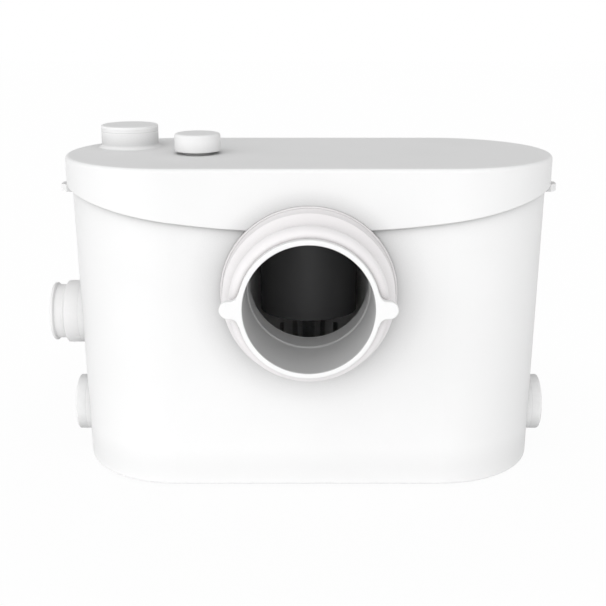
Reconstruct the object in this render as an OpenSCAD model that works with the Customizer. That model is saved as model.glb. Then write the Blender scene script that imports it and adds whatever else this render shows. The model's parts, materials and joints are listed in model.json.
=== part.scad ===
// Macerator toilet pump: an oval tank and lid, a closet inlet in a ribbed boot, side inlets with flap
// valves, and one upright motor shaft that turns a cutter and a pump. Millimetres.
// Frame: origin on the ground under the middle of the tank, +Z up, the closet inlet faces -Y.

/* [Tank] */
// Half length of the straight middle of the oval
oval_half = 111.3; // [105:0.1:125]
// Radius of the tank's round ends at ground level
tank_r = 86; // [84:0.5:92]
// Draft of the tank wall in degrees
tank_draft = 0.8; // [0.2:0.1:1.2]
// Thickness of the tank wall
tank_wall = 3.5; // [2.5:0.1:4.5]
// Thickness of the tank floor
tank_floor = 5; // [4:0.1:7]
// Rounding of the tank's bottom edge
tank_edge = 2; // [0.5:0.1:3]
// Height of the tank rim above the ground
rim_z = 258; // [254:0.5:266]
// Width of the ledge inside the rim
ledge_w = 10; // [9:0.5:12]
// Thickness of the ledge inside the rim
ledge_t = 6; // [4:0.5:8]
// Drop from the rim to the ledge
ledge_drop = 28; // [24:0.5:30]
// Reach of an end lug past the tank wall
lug_reach = 10.7; // [7:0.1:14]
// Width of an end lug
lug_w = 20; // [12:0.5:26]
// Thickness of an end lug
lug_t = 6.3; // [4:0.1:8]
// Drop from the rim to the top of an end lug
lug_drop = 14.6; // [13:0.1:18]

/* [Feet] */
// Radius of a foot pad
foot_r = 14; // [9:0.5:18]
// Height of a foot pad
foot_h = 3.4; // [2.6:0.1:4]
// How far a foot pad stands below the tank
foot_drop = 1.2; // [0.6:0.1:1.6]
// Half spacing of the feet along the tank
foot_x = 105; // [80:1:120]
// Half spacing of the feet across the tank
foot_y = 52; // [40:1:60]

/* [Lid] */
// Thickness of the lid's top and skirt
lid_wall = 3; // [2:0.1:4]
// Gap between the tank and the lid's skirt
skirt_gap = 1.5; // [0.8:0.1:2.5]
// Depth of the skirt at the middle of the front
skirt_depth = 50; // [44:0.5:56]
// Radius of the skirt's bowed lower edge
skirt_bow_r = 817; // [700:1:1000]
// Rounding of the lid's top edge
lid_edge = 3.2; // [1:0.1:5]
// Height of the lid's seat rib
lid_rib_h = 6.8; // [5:0.1:9]
// Width of the lid's seat rib
lid_rib_w = 5.6; // [4.5:0.1:8]
// Thickness of the lid seal
lid_seal_t = 1.8; // [1:0.1:3]
// Width of the lid seal
lid_seal_w = 3.1; // [2:0.1:3.4]

/* [Outlet turret] */
// Distance from the tank's left end to the turret's axis
outlet_end = 40.1; // [37:0.1:47]
// Distance from the tank's back to the turret's axis
outlet_back = 52.3; // [48:0.1:58]
// Turret radius
turret_r = 24.7; // [22:0.1:28]
// Turret wall
turret_wall = 4.7; // [3:0.1:5]
// Height of the turret with its cap
turret_h = 19.2; // [16:0.1:24]
// Thickness of the outlet cap's disc
outlet_cap_t = 2.7; // [2:0.1:4]
// Depth of the outlet cap's plug
outlet_plug_h = 6; // [4:0.1:7]

/* [Air vent] */
// Vent centre along the lid
vent_x = -93.5; // [-100:0.1:-85]
// Vent centre across the lid
vent_y = -9; // [-14:0.1:-2]
// Radius of the vent cap
vent_r = 19.3; // [18:0.1:23]
// Height of the vent cap's top above the lid
vent_h = 17; // [14:0.1:22]
// Air gap under the vent cap
vent_gap = 2.7; // [1.5:0.1:4]
// Wall of the vent cap
vent_wall = 2; // [1.2:0.1:2.4]
// Radius of the vent's hole in the lid
vent_hole_r = 12; // [10:0.1:13]
// Radius of the filter pad
filter_r = 14.5; // [13.5:0.1:16]
// Height of the filter pad
filter_h = 12; // [8:0.1:13]

/* [Closet inlet] */
// Height of the closet inlet's axis
wc_z = 171; // [170:0.5:176]
// Bore radius of the closet spigot
wc_bore_r = 50; // [48:0.1:50]
// Wall of the closet spigot
wc_wall = 3.9; // [3:0.1:4.5]
// Distance from the tank's middle to the spigot's rim
wc_reach = 142; // [138:0.5:150]
// Length of the spigot
wc_length = 60.7; // [58:0.1:66]
// Reach of an ear past the spigot
ear_reach = 13.6; // [10:0.1:18]
// Height of an ear
ear_h = 13.5; // [10:0.1:16]
// Thickness of an ear
ear_t = 6; // [4:0.1:8]
// Fillet where an ear meets the rim
ear_fillet = 6; // [3:0.1:7]
// Bore radius of the tank's neck behind the spigot
neck_bore_r = 48.8; // [46:0.1:49]
// Depth of the neck inside the tank, behind the spigot
neck_depth = 22; // [16:0.5:24]
// Outside radius of the tank's collar under the boot
collar_r = 60; // [58.5:0.1:60.5]
// Reach of the collar past the tank's middle
collar_reach = 100; // [96:0.5:102]

/* [Boot] */
// Radius of the boot's base ring
boot_base_r = 70.2; // [69.5:0.1:72]
// Radius of the boot's middle rib
boot_mid_r = 67.5; // [66:0.1:69]
// Radius of the boot's front rib
boot_front_r = 61.6; // [60.5:0.1:63]
// Radius of the boot's mouth
boot_mouth_r = 57; // [56:0.1:59]
// Thickness of the base ring
boot_base_t = 5.7; // [5:0.1:7]
// Distance from the base ring's front to the middle rib
boot_mid_step = 13; // [11:0.1:14.5]
// Distance from the middle rib to the front rib
boot_front_step = 16.8; // [14:0.1:18.5]
// Depth of the grooves between the ribs
boot_groove = 3.6; // [2:0.1:4]
// Rounding of the base ring's front edge
boot_edge = 1.6; // [0.6:0.1:2.5]

/* [Side inlets] */
// Bore radius of a side inlet
side_bore_r = 20.2; // [18:0.1:21]
// Wall of a side socket
side_wall = 2; // [1.5:0.1:2.4]
// Height of the two low inlets
low_z = 42.6; // [38:0.1:48]
// Radius of a blanking cap
cap_r = 24.45; // [24:0.1:27]
// Reach of a blanking cap past the tank wall
cap_reach = 9.7; // [8:0.1:14]
// End wall of a blanking cap
cap_end = 2.4; // [1.5:0.1:3]
// Rounding of a blanking cap's edge
cap_edge = 2; // [0.5:0.1:2.4]
// Height of the upper inlet
high_z = 128.4; // [124:0.1:132]
// Radius of the upper sleeve's collar
sleeve_r = 27.4; // [26:0.1:30]
// Radius of the sleeve's clamp groove
sleeve_groove_r = 23.7; // [23:0.1:24.5]
// Radius of the sleeve's lip
sleeve_lip_r = 25.5; // [24.5:0.1:27]
// Length of the sleeve's collar past the tank wall
sleeve_collar_l = 10.3; // [8:0.1:13]
// Length of the sleeve's clamp groove
sleeve_groove_l = 7.4; // [5:0.1:10]
// Length of the sleeve's lip
sleeve_lip_l = 5.2; // [3:0.1:7]
// Depth of a flap seat inside the tank wall
seat_depth = 8; // [6:0.1:12]
// Thickness of a flap
flap_t = 2.5; // [1.5:0.1:3.5]
// Overlap of a flap on its seat
flap_lap = 2; // [1.5:0.1:2.5]
// Radius of a flap's hinge pin
flap_pin_r = 1.5; // [1:0.1:2]

/* [Cutter and pump] */
// Place of the motor shaft behind the tank's middle
motor_y = 20; // [17:0.5:20.5]
// Half width of the cutter's basket and hood
hood_w = 54; // [53.5:0.1:54.5]
// Wall of the basket and hood
hood_wall = 3; // [2:0.1:3]
// Height of the joint between basket and hood
hood_z = 110; // [104:1:112]
// Slot width in the basket
slot_w = 5; // [3:0.5:6]
// Radius of the cutter blade
blade_r = 46; // [36:0.5:48]
// Thickness of the cutter blade
blade_t = 4; // [2:0.1:6]
// Height of the cutter above the basket's floor
blade_rise = 24; // [20:0.5:30]
// Outside radius of the pump's volute
volute_r = 50; // [46:0.5:50]
// Height of the volute
volute_h = 29.5; // [29.5:0.1:33]
// Wall of the volute
volute_wall = 4; // [3:0.1:4.5]
// Thickness of the volute's cover
cover_t = 4; // [4:0.1:5]
// Radius of the pump's eye
eye_r = 17; // [15:0.1:20]
// Radius of the impeller
impeller_r = 38; // [30:0.5:40]
// Height of the impeller
impeller_h = 17; // [12:0.5:18]

/* [Motor] */
// Outside radius of the motor pot
pot_r = 43; // [42:0.1:43]
// Wall of the motor pot
pot_wall = 2.5; // [2:0.1:3]
// Height of the motor pot
pot_h = 100.7; // [98:0.1:103]
// Radius of the motor's flange
motor_flange_r = 50; // [49.5:0.1:50.5]
// Height of the stator
stator_h = 60; // [50:0.5:61]
// Radius of the rotor
rotor_r = 22; // [18:0.1:23]
// Air gap round the rotor
air_gap = 0.5; // [0.3:0.1:0.8]
// Radius of the shaft
shaft_r = 6; // [5:0.1:7]
// Outside radius of a bearing
bearing_r = 14; // [12:0.1:15]
// Height of a bearing
bearing_h = 7.8; // [6:0.1:8]

/* [Outlet pipe] */
// Bore radius of the outlet pipe
pipe_bore_r = 10; // [8:0.1:10]
// Wall of the outlet pipe
pipe_wall = 2; // [1.5:0.1:2]
// Bend radius of the outlet pipe
bend_r = 24; // [20:0.5:30]
// Wall of the rubber coupling
coupling_wall = 2.4; // [1.5:0.1:2.5]
// Radius of the check valve's ball
ball_r = 13; // [12:0.1:13.5]
// Lift of the check valve's ball
ball_lift = 12; // [8:0.5:14]

/* [Level switch] */
// Distance from the tank's left end to the level bell's axis
bell_end = 72.3; // [67:0.1:79]
// Distance from the tank's front to the level bell's axis
bell_front = 46; // [40:0.5:50]
// Radius of the level bell
bell_r = 14; // [11:0.1:16]
// Height of the bell's mouth above the tank floor
bell_mouth = 12; // [6:0.5:30]
// Radius of the switch housing
switch_r = 22; // [20:0.1:24]
// Height of the switch housing
switch_h = 11; // [10:0.1:12]
// Travel of the switch plunger
plunger_travel = 2; // [1:0.1:2.4]

/* [Electrics] */
// Radius of the capacitor
capacitor_r = 13.5; // [10:0.1:13.8]
// Length of the capacitor
capacitor_l = 70; // [50:1:76]
// Capacitor and terminal block centre along the deck
electrics_x = 84; // [80:1:88]
// Distance from the tank's back to the capacitor's axis
capacitor_back = 46; // [42:0.5:50]
// Length of the terminal block
terminal_l = 50; // [36:1:56]
// Place of the cable gland along the back
gland_x = 90; // [80:0.5:100]
// Thread radius of the cable gland
gland_r = 7; // [5:0.1:7.5]
// Bore radius of the cable gland
gland_bore_r = 3.6; // [2.5:0.1:4]

/* [Fits] */
// Gap between seated pieces
seat_gap = 0.3; // [0.2:0.05:0.4]
// Gap between a turning pin or shaft and its hole
run_gap = 0.05; // [0.03:0.01:0.08]

/* [Hidden] */
$fn = 96;
eps = 1;
LEFT = -1;
RIGHT = 1;

// Heights of the tank and lid
floor_z = foot_drop + tank_floor;
ledge_z = rim_z - ledge_drop;
lid_seal_z = rim_z + seat_gap / 2;
lid_rib_z = lid_seal_z + lid_seal_t + seat_gap / 2;
lid_under_z = lid_rib_z + lid_rib_h;
lid_top_z = lid_under_z + lid_wall;
skirt_z = lid_top_z - skirt_depth;
function tank_r_at(z) = tank_r + z * tan(tank_draft);
function wall_x(z) = oval_half + tank_r_at(z);
lid_r = tank_r_at(rim_z) + skirt_gap + lid_wall;
ledge_in_r = tank_r_at(ledge_z) - tank_wall - ledge_w;
lug_z = rim_z - lug_drop - lug_t;

// Deck
deck_seal_t = 1.3;
deck_t = 4;
deck_z = ledge_z + deck_seal_t + seat_gap;
deck_top_z = deck_z + deck_t;
deck_clear = 0.6;
deck_screw_r = 1.6;
deck_screw_inset = 3.4;
deck_screw_circle = ledge_in_r + ledge_w - deck_screw_inset;
screw_head_h = 2.6;

// Closet inlet, as distances in front of the tank's middle
wc_out_r = wc_bore_r + wc_wall;
wc_tail = wc_reach - wc_length;
neck_end = wc_tail - seat_gap - neck_depth;
neck_r = wc_out_r + 4;
collar_root = tank_r_at(wc_z + collar_r) - tank_wall + seat_gap;
boot_back = tank_r_at(wc_z + boot_base_r) + seat_gap;
boot_base_y = boot_back + boot_base_t;
boot_mid_y = boot_base_y + boot_mid_step;
boot_front_y = boot_mid_y + boot_front_step;
boot_end = wc_reach - ear_t - seat_gap;
boot_step = collar_reach + eps;
notch_gap = 0.6;
notch_r = boot_base_r + notch_gap;

// Motor column
flange_t = 4;
motor_top_z = deck_z - seat_gap;
end_cap_t = 4;
pot_top_z = motor_top_z - end_cap_t - seat_gap;
pot_z = pot_top_z - pot_h;
pot_floor = 4;
pot_in_r = pot_r - pot_wall;
bearing_wall = 3.5;
lower_bearing_z = pot_z + pot_floor + run_gap;
bearing_lip = 2.8;
upper_bearing_z = pot_top_z - seat_gap - bearing_lip - bearing_h;
seal_r = 12;
seal_h = 7;
seal_boss_h = 9;
stator_rise = 20;
stator_z = pot_z + stator_rise;
stator_in_r = rotor_r + air_gap;
winding_h = 14;
winding_wall = 2.5;
motor_screw_circle = motor_flange_r - 3.5;
motor_screw_r = 2;
shaft_core_r = shaft_r + 2;

// Cutter and pump column
volute_z = floor_z + seat_gap;
volute_floor = 3;
volute_top_z = volute_z + volute_h;
cover_z = volute_top_z + seat_gap / 3;
basket_z = cover_z + cover_t + seat_gap;
basket_top_z = hood_z - seat_gap;
blade_z = basket_z + hood_wall + blade_rise;
blade_hub_h = 14;
blade_hub_r = 11;
nut_h = 7;
nut_r = 10;
volute_in_r = volute_r - volute_wall;
shaft_end_z = volute_z + volute_floor + 0.8;
impeller_nut_h = 3.5;
impeller_z = shaft_end_z + impeller_nut_h + seat_gap;
volute_screw_angles = [15, 195, 255, 315];
volute_boss_r = 5;
volute_screw_circle = volute_in_r + volute_boss_r + 0.5;
volute_screw_r = 2;
volute_screw_depth = 14;
volute_head_r = 3.4;
volute_head_gap = 0.2;

// Outlet pipe: a straight run that leaves the volute on a tangent and ends under the turret
pipe_r = pipe_bore_r + pipe_wall;
pipe_z = volute_z + volute_h / 2;
throw_inset = 1.2;
throw_r = volute_in_r - pipe_bore_r - throw_inset;
outlet_x = outlet_end - oval_half - tank_r;
outlet_y = tank_r - outlet_back;
outlet_span = norm([outlet_x, outlet_y - motor_y]);
pipe_dir = atan2(outlet_y - motor_y, outlet_x) + asin(throw_r / outlet_span);
pipe_start = [throw_r * cos(pipe_dir - 90), motor_y + throw_r * sin(pipe_dir - 90), pipe_z];
pipe_run = sqrt(pow(outlet_span, 2) - pow(throw_r, 2));
volute_stub = 62;
coupling_lap = 11;

// Check valve, built up and down from its flange on the deck
valve_z = deck_top_z + seat_gap;
valve_drop = 40;
valve_throat = 27;
valve_shoulder_z = valve_z - valve_throat;
valve_seat_t = 2.5;
valve_seat_z = valve_shoulder_z + valve_seat_t;
valve_wall = 2.5;
valve_in_r = ball_r + 2.5;
valve_r = valve_in_r + valve_wall;
ball_z = valve_seat_z + sqrt(pow(ball_r, 2) - pow(pipe_bore_r, 2)) + seat_gap;
spout_bore_r = ball_r - 2;
spout_r = spout_bore_r + 5;
chamber_top_z = ball_z + ball_lift + sqrt(pow(ball_r, 2) - pow(spout_bore_r, 2)) + 2;
turret_in_r = turret_r - turret_wall;
turret_top_z = lid_top_z + turret_h;
outlet_cap_z = turret_top_z - outlet_cap_t;
spout_top_z = outlet_cap_z - outlet_plug_h - 2;

// Level switch
bell_x = bell_end - oval_half - tank_r;
bell_y = bell_front - tank_r;
bell_flange_t = 3;
switch_z = deck_top_z + bell_flange_t + 2 * seat_gap;
switch_wall = 2;
diaphragm_t = 1.5;
plunger_r = 3;
plunger_foot_t = 2;
plunger_foot_z = switch_z + diaphragm_t + 2 * seat_gap;
switch_top_z = switch_z + switch_h;
plunger_stand = 0.5;
plunger_top_z = switch_top_z + plunger_travel + plunger_stand;
micro_z = switch_top_z + seat_gap;
micro_h = 9.5;
micro_w = 10;
micro_l = 20;
micro_offset = 8;
micro_x = bell_x + micro_offset;
cheek_t = 2;
lever_t = 0.8;
lever_pin_r = 1;
lever_l = 11;
lever_pin_gap = 1.8;
lever_pin_x = micro_x - lever_pin_gap;
lever_z = plunger_top_z + seat_gap;

// Electrics
capacitor_y = tank_r - capacitor_back;
clip_t = 1.5;
clip_w = 14;
clip_foot = 8;
capacitor_z = deck_top_z + 2 * seat_gap + clip_t + capacitor_r;
terminal_front = 56;
terminal_y = terminal_front - tank_r;
terminal_w = 16;
terminal_h = 14;
gland_drop = 11;
gland_tail = 6;
gland_z = rim_z - gland_drop;
gland_hex_r = 10;
gland_wall_y = tank_r_at(gland_z);
gland_notch_r = gland_hex_r + 2;

WHITE = [0.95, 0.95, 0.95];
SOFT_WHITE = [0.9, 0.88, 0.88];
DARK = [0.2, 0.2, 0.21];
BLACK = [0.1, 0.1, 0.1];
STEEL = [0.72, 0.73, 0.75];
COPPER = [0.72, 0.42, 0.2];

// Points of an arc from one angle to another
function arc_points(centre, r, from, to, steps = 5) =
    [for (i = [0:steps])
        centre + r * [cos(from + (to - from) * i / steps), sin(from + (to - from) * i / steps)]];

// Points of a smooth rise or fall between two points of a profile, without the last one
function ease_points(from, to, steps = 6) =
    [for (i = [0:steps - 1]) [from.x + (to.x - from.x) * (1 - cos(180 * i / steps)) / 2,
        from.y + (to.y - from.y) * i / steps]];

// Carries an upright profile, drawn as radius and height, round the oval
module oval_sweep() {
    for (side = [LEFT, RIGHT])
        translate([side * oval_half, 0, 0]) rotate([0, 0, -90 * side])
            rotate_extrude(angle = 180) children();
    for (side = [0, 1])
        mirror([0, side, 0]) translate([-oval_half, 0, 0]) rotate([90, 0, 90])
            linear_extrude(2 * oval_half) children();
}

// A flat-topped rectangle of a profile between two radii
module band(r_in, r_out, z, h) {
    translate([r_in, z]) square([r_out - r_in, h]);
}

// Turns a profile about the closet inlet's axis, with its second coordinate running to the front
module about_wc() {
    translate([0, 0, wc_z]) rotate([90, 0, 0]) children();
}

// Places pieces of a side inlet, with +X outwards and the axis at height z
module at_side(side, z) {
    translate([0, 0, z]) mirror([side == LEFT ? 1 : 0, 0, 0]) children();
}

module rod_x(from, to, r) {
    translate([from, 0, 0]) rotate([0, 90, 0]) cylinder(h = to - from, r = r);
}

module rod_y(from, to, r) {
    translate([0, from, 0]) rotate([-90, 0, 0]) cylinder(h = to - from, r = r);
}

module ring(r_in, r_out, h) {
    difference() {
        cylinder(h = h, r = r_out);
        translate([0, 0, -eps]) cylinder(h = h + 2 * eps, r = r_in);
    }
}

module at_motor(z) {
    translate([0, motor_y, z]) children();
}

module at_outlet(z) {
    translate([outlet_x, outlet_y, z]) children();
}

module at_vent(z) {
    translate([vent_x, vent_y, z]) children();
}

module at_bell(z) {
    translate([bell_x, bell_y, z]) children();
}

module along_pipe() {
    translate(pipe_start) rotate([0, 0, pipe_dir]) children();
}

// Places one copy at each deck screw
module at_deck_screws(z) {
    for (side = [LEFT, RIGHT], a = [-50, 0, 50])
        translate([side * (oval_half + deck_screw_circle * cos(a)), deck_screw_circle * sin(a), z])
            children();
    for (x = [-0.6, 0.6], side = [-1, 1])
        translate([x * oval_half, side * deck_screw_circle, z]) children();
}

module at_motor_screws(z) {
    for (a = [45:90:315])
        at_motor(z) rotate([0, 0, a]) translate([motor_screw_circle, 0, 0]) children();
}

module at_volute_screws(z) {
    for (a = volute_screw_angles)
        at_motor(z) rotate([0, 0, a]) translate([volute_screw_circle, 0, 0]) children();
}

// Places one copy at each corner foot and one at the middle foot, under the pump
module at_feet() {
    for (x = [-foot_x, foot_x], y = [-foot_y, foot_y])
        translate([x, y, 0]) children();
    children();
}

// Side inlet: sizes that its pieces share, as distances from the tank's middle
function boss_x(z, r) = wall_x(z + r) + 0.5;
function seat_x(z, r) = wall_x(z - r) - tank_wall - seat_depth;
socket_r = side_bore_r + side_wall;
flap_r = side_bore_r + flap_lap;
knuckle_r = flap_pin_r + 1.5;
hinge_rise = flap_r + knuckle_r + 0.3;
hinge_in = seat_gap + knuckle_r;
knuckle_w = 13;
ear_gap = 0.5;
hinge_ear_w = 3;
hinge_ear_y = knuckle_w / 2 + ear_gap + hinge_ear_w / 2;
cap_end_x = wall_x(low_z) + cap_reach;
low_socket_x = cap_end_x - cap_end - seat_gap;
sleeve_collar_x = wall_x(high_z) + sleeve_collar_l;
sleeve_flare_l = 2.6;
sleeve_groove_x = sleeve_collar_x + sleeve_flare_l;
sleeve_lip_x = sleeve_groove_x + sleeve_groove_l;
sleeve_end_x = sleeve_lip_x + sleeve_lip_l;
high_socket_x = sleeve_collar_x - 2.4;

module tank_profile() {
    edge_r = tank_r_at(foot_drop + tank_edge);
    ledge_foot_z = ledge_z - ledge_t - ledge_w;
    polygon(concat(
        [[0, foot_drop]],
        arc_points([edge_r - tank_edge, foot_drop + tank_edge], tank_edge, -90, 0),
        [[tank_r_at(rim_z), rim_z],
            [tank_r_at(rim_z) - tank_wall, rim_z],
            [tank_r_at(ledge_z) - tank_wall, ledge_z],
            [ledge_in_r, ledge_z],
            [ledge_in_r, ledge_z - ledge_t],
            [tank_r_at(ledge_foot_z) - tank_wall, ledge_foot_z],
            [tank_r_at(floor_z) - tank_wall, floor_z],
            [0, floor_z]]));
}

// Socket, outer boss and flap seat of one side inlet, without the bore
module side_socket(z, r, socket_end) {
    rod_x(seat_x(z, r), boss_x(z, r), r);
    rod_x(seat_x(z, r), socket_end, socket_r);
    ear_x = seat_x(z, r) - hinge_in - knuckle_r;
    ear_l = hinge_in + knuckle_r + seat_depth + tank_wall / 2;
    for (side = [-1, 1])
        translate([ear_x, side * hinge_ear_y - hinge_ear_w / 2, flap_r + seat_gap])
            cube([ear_l, hinge_ear_w, hinge_rise + knuckle_r - flap_r]);
}

// Everything that is cut out of the tank for one side inlet
module side_cuts(z, r, socket_end) {
    rod_x(seat_x(z, r) - eps, socket_end + eps, side_bore_r);
    translate([seat_x(z, r) - hinge_in, 0, hinge_rise])
        rod_y(-knuckle_w, knuckle_w, flap_pin_r + run_gap);
}

module end_lug() {
    lug_end = wall_x(lug_z) + lug_reach;
    corner = lug_reach / 2;
    translate([0, 0, lug_z]) linear_extrude(lug_t)
        polygon([[lug_end - lug_reach - tank_wall / 2, -lug_w / 2], [lug_end - corner, -lug_w / 2],
            [lug_end, -lug_w / 2 + corner], [lug_end, lug_w / 2 - corner],
            [lug_end - corner, lug_w / 2], [lug_end - lug_reach - tank_wall / 2, lug_w / 2]]);
}

module tank() {
    color(WHITE) difference() {
        union() {
            oval_sweep() tank_profile();
            about_wc() translate([0, 0, neck_end]) cylinder(h = tank_r - neck_end, r = neck_r);
            about_wc() translate([0, 0, collar_root])
                cylinder(h = collar_reach - collar_root, r = collar_r);
            at_side(LEFT, high_z) side_socket(high_z, sleeve_r, high_socket_x);
            for (side = [LEFT, RIGHT]) {
                at_side(side, low_z) side_socket(low_z, cap_r, low_socket_x);
                at_side(side, 0) end_lug();
            }
        }
        about_wc() translate([0, 0, neck_end - eps])
            cylinder(h = collar_reach - neck_end, r = neck_bore_r);
        about_wc() translate([0, 0, wc_tail - seat_gap])
            cylinder(h = collar_reach - wc_tail + 2 * eps, r = wc_out_r + seat_gap / 3);
        at_side(LEFT, high_z) side_cuts(high_z, sleeve_r, high_socket_x);
        for (side = [LEFT, RIGHT])
            at_side(side, low_z) side_cuts(low_z, cap_r, low_socket_x);
        at_deck_screws(ledge_z - ledge_t - ledge_w)
            cylinder(h = 2 * (ledge_t + ledge_w), r = deck_screw_r + run_gap);
        at_feet() cylinder(h = foot_h + seat_gap / 3, r = foot_r + seat_gap / 3);
        translate([gland_x, 0, gland_z]) rod_y(0, 2 * tank_r, gland_r + seat_gap / 3);
    }
}

module tank_feet() {
    color(BLACK) at_feet() cylinder(h = foot_h, r = foot_r);
}

module lid_profile() {
    in_r = lid_r - lid_wall;
    rib_r = in_r - lid_rib_w;
    polygon(concat(
        [[0, lid_under_z], [rib_r, lid_under_z], [rib_r, lid_rib_z], [in_r, lid_rib_z],
            [in_r, skirt_z - eps], [lid_r, skirt_z - eps]],
        arc_points([lid_r - lid_edge, lid_top_z - lid_edge], lid_edge, 0, 90),
        [[0, lid_top_z]]));
}

module lid() {
    cup_floor = 1.5;
    cup_z = lid_under_z - filter_h - cup_floor - 2 * seat_gap;
    vent_seat_h = 1.2;
    color(WHITE) difference() {
        union() {
            intersection() {
                oval_sweep() lid_profile();
                translate([0, 0, skirt_z + skirt_bow_r])
                    rod_y(-2 * tank_r, 2 * tank_r, skirt_bow_r, $fn = 360);
            }
            at_outlet(lid_under_z) cylinder(h = outlet_cap_z - seat_gap - lid_under_z, r = turret_r);
            at_vent(lid_under_z) cylinder(h = lid_wall + vent_seat_h, r = vent_r - vent_wall - 1);
            at_vent(cup_z) cylinder(h = lid_under_z - cup_z + eps, r = filter_r + seat_gap + 2);
        }
        at_outlet(lid_under_z - eps) cylinder(h = turret_top_z - lid_under_z, r = turret_in_r);
        at_vent(cup_z - eps)
            cylinder(h = lid_top_z - cup_z + 2 * vent_seat_h + eps, r = vent_hole_r);
        at_vent(cup_z + cup_floor)
            cylinder(h = lid_under_z - cup_z - cup_floor, r = filter_r + seat_gap);
        about_wc() translate([0, 0, tank_r - 2 * tank_wall]) cylinder(h = lid_r, r = notch_r);
        translate([gland_x, 0, gland_z]) rod_y(tank_r - tank_wall, 2 * tank_r, gland_notch_r);
        translate([gland_x - gland_notch_r, tank_r - tank_wall, skirt_z - eps])
            cube([2 * gland_notch_r, tank_r, gland_z - skirt_z + eps]);
    }
}

module lid_seal() {
    out_r = tank_r_at(rim_z) - 0.2;
    color(BLACK) oval_sweep() band(out_r - lid_seal_w, out_r, lid_seal_z, lid_seal_t);
}

module vent_cap() {
    top = vent_h;
    edge = 2;
    slit_w = 5;
    stem_r = vent_hole_r - seat_gap;
    stem_in_r = stem_r - vent_wall;
    roof = top - vent_wall;
    color(WHITE) at_vent(lid_top_z) difference() {
        rotate_extrude() polygon(concat(
            [[0, roof], [stem_in_r, roof], [stem_in_r, -lid_wall], [stem_r, -lid_wall], [stem_r, roof],
                [vent_r - vent_wall, roof], [vent_r - vent_wall, vent_gap], [vent_r, vent_gap]],
            arc_points([vent_r - edge, top - edge], edge, 0, 90),
            [[0, top]]));
        for (a = [0:60:120])
            rotate([0, 0, a]) translate([-stem_r - eps, -slit_w / 2, vent_gap])
                cube([2 * stem_r + 2 * eps, slit_w, roof - vent_gap - 1]);
    }
}

module vent_filter() {
    color(BLACK) at_vent(lid_under_z - filter_h - seat_gap) cylinder(h = filter_h, r = filter_r);
}

module outlet_cap() {
    edge = 2;
    plug_r = turret_in_r - seat_gap;
    color(WHITE) at_outlet(0) rotate_extrude() polygon(concat(
        [[0, outlet_cap_z], [plug_r - 2, outlet_cap_z], [plug_r - 2, outlet_cap_z - outlet_plug_h],
            [plug_r, outlet_cap_z - outlet_plug_h], [plug_r, outlet_cap_z], [turret_r, outlet_cap_z]],
        arc_points([turret_r - edge, turret_top_z - edge], edge, 0, 90),
        [[0, turret_top_z]]));
}

module wc_inlet_boot() {
    base_in_r = collar_r + seat_gap / 3;
    front_in_r = wc_out_r + seat_gap / 3;
    base_crest = [boot_base_r - boot_edge, boot_base_y];
    mid_crest = [boot_mid_r, boot_mid_y];
    front_crest = [boot_front_r, boot_front_y];
    base_groove = [boot_mid_r - boot_groove, (boot_base_y + boot_mid_y) / 2];
    front_groove = [boot_front_r - boot_groove, (boot_mid_y + boot_front_y) / 2];
    color(SOFT_WHITE) about_wc() rotate_extrude() polygon(concat(
        [[base_in_r, boot_back], [boot_base_r, boot_back]],
        arc_points([boot_base_r - boot_edge, boot_base_y - boot_edge], boot_edge, 0, 90),
        ease_points(base_crest, base_groove),
        ease_points(base_groove, mid_crest),
        ease_points(mid_crest, front_groove),
        ease_points(front_groove, front_crest),
        ease_points(front_crest, [boot_mouth_r, boot_end]),
        [[boot_mouth_r, boot_end], [front_in_r, boot_end], [front_in_r, boot_step],
            [base_in_r, boot_step]]));
}

module wc_inlet_spigot() {
    tip_r = ear_h / 2;
    tip_x = wc_out_r + ear_reach - tip_r;
    fillet_x = wc_out_r + ear_fillet - 0.6;
    rim_edge = 0.8;
    upper = concat([[wc_bore_r, tip_r + ear_fillet]],
        arc_points([fillet_x, tip_r + ear_fillet], ear_fillet, 180, 270),
        arc_points([tip_x, 0], tip_r, 90, 0, 8));
    lower = [for (i = [len(upper) - 2:-1:0]) [upper[i].x, -upper[i].y]];
    color(WHITE) about_wc() difference() {
        union() {
            rotate_extrude() polygon(concat(
                [[wc_bore_r - eps, wc_tail], [wc_out_r, wc_tail]],
                arc_points([wc_out_r - rim_edge, wc_reach - rim_edge], rim_edge, 0, 90, 3),
                [[wc_bore_r - eps, wc_reach]]));
            for (side = [0, 1])
                mirror([side, 0, 0]) translate([0, 0, wc_reach - ear_t])
                    linear_extrude(ear_t) polygon(concat(upper, lower));
        }
        translate([0, 0, wc_tail - eps]) cylinder(h = wc_length + 2 * eps, r = wc_bore_r);
    }
}

module upper_inlet_sleeve() {
    start = boss_x(high_z, sleeve_r) + seat_gap;
    grip_r = socket_r + seat_gap / 3;
    edge = 1;
    color(SOFT_WHITE) at_side(LEFT, high_z) rotate([0, 90, 0]) rotate_extrude() polygon(concat(
        [[grip_r, start], [sleeve_r, start]],
        arc_points([sleeve_r - edge, sleeve_collar_x - edge], edge, 0, 90, 3),
        [[sleeve_groove_r, sleeve_groove_x], [sleeve_groove_r, sleeve_lip_x],
            [sleeve_lip_r, sleeve_lip_x]],
        arc_points([sleeve_lip_r - edge, sleeve_end_x - edge], edge, 0, 90, 3),
        [[side_bore_r, sleeve_end_x], [side_bore_r, high_socket_x + seat_gap],
            [grip_r, high_socket_x + seat_gap]]));
}

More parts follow.
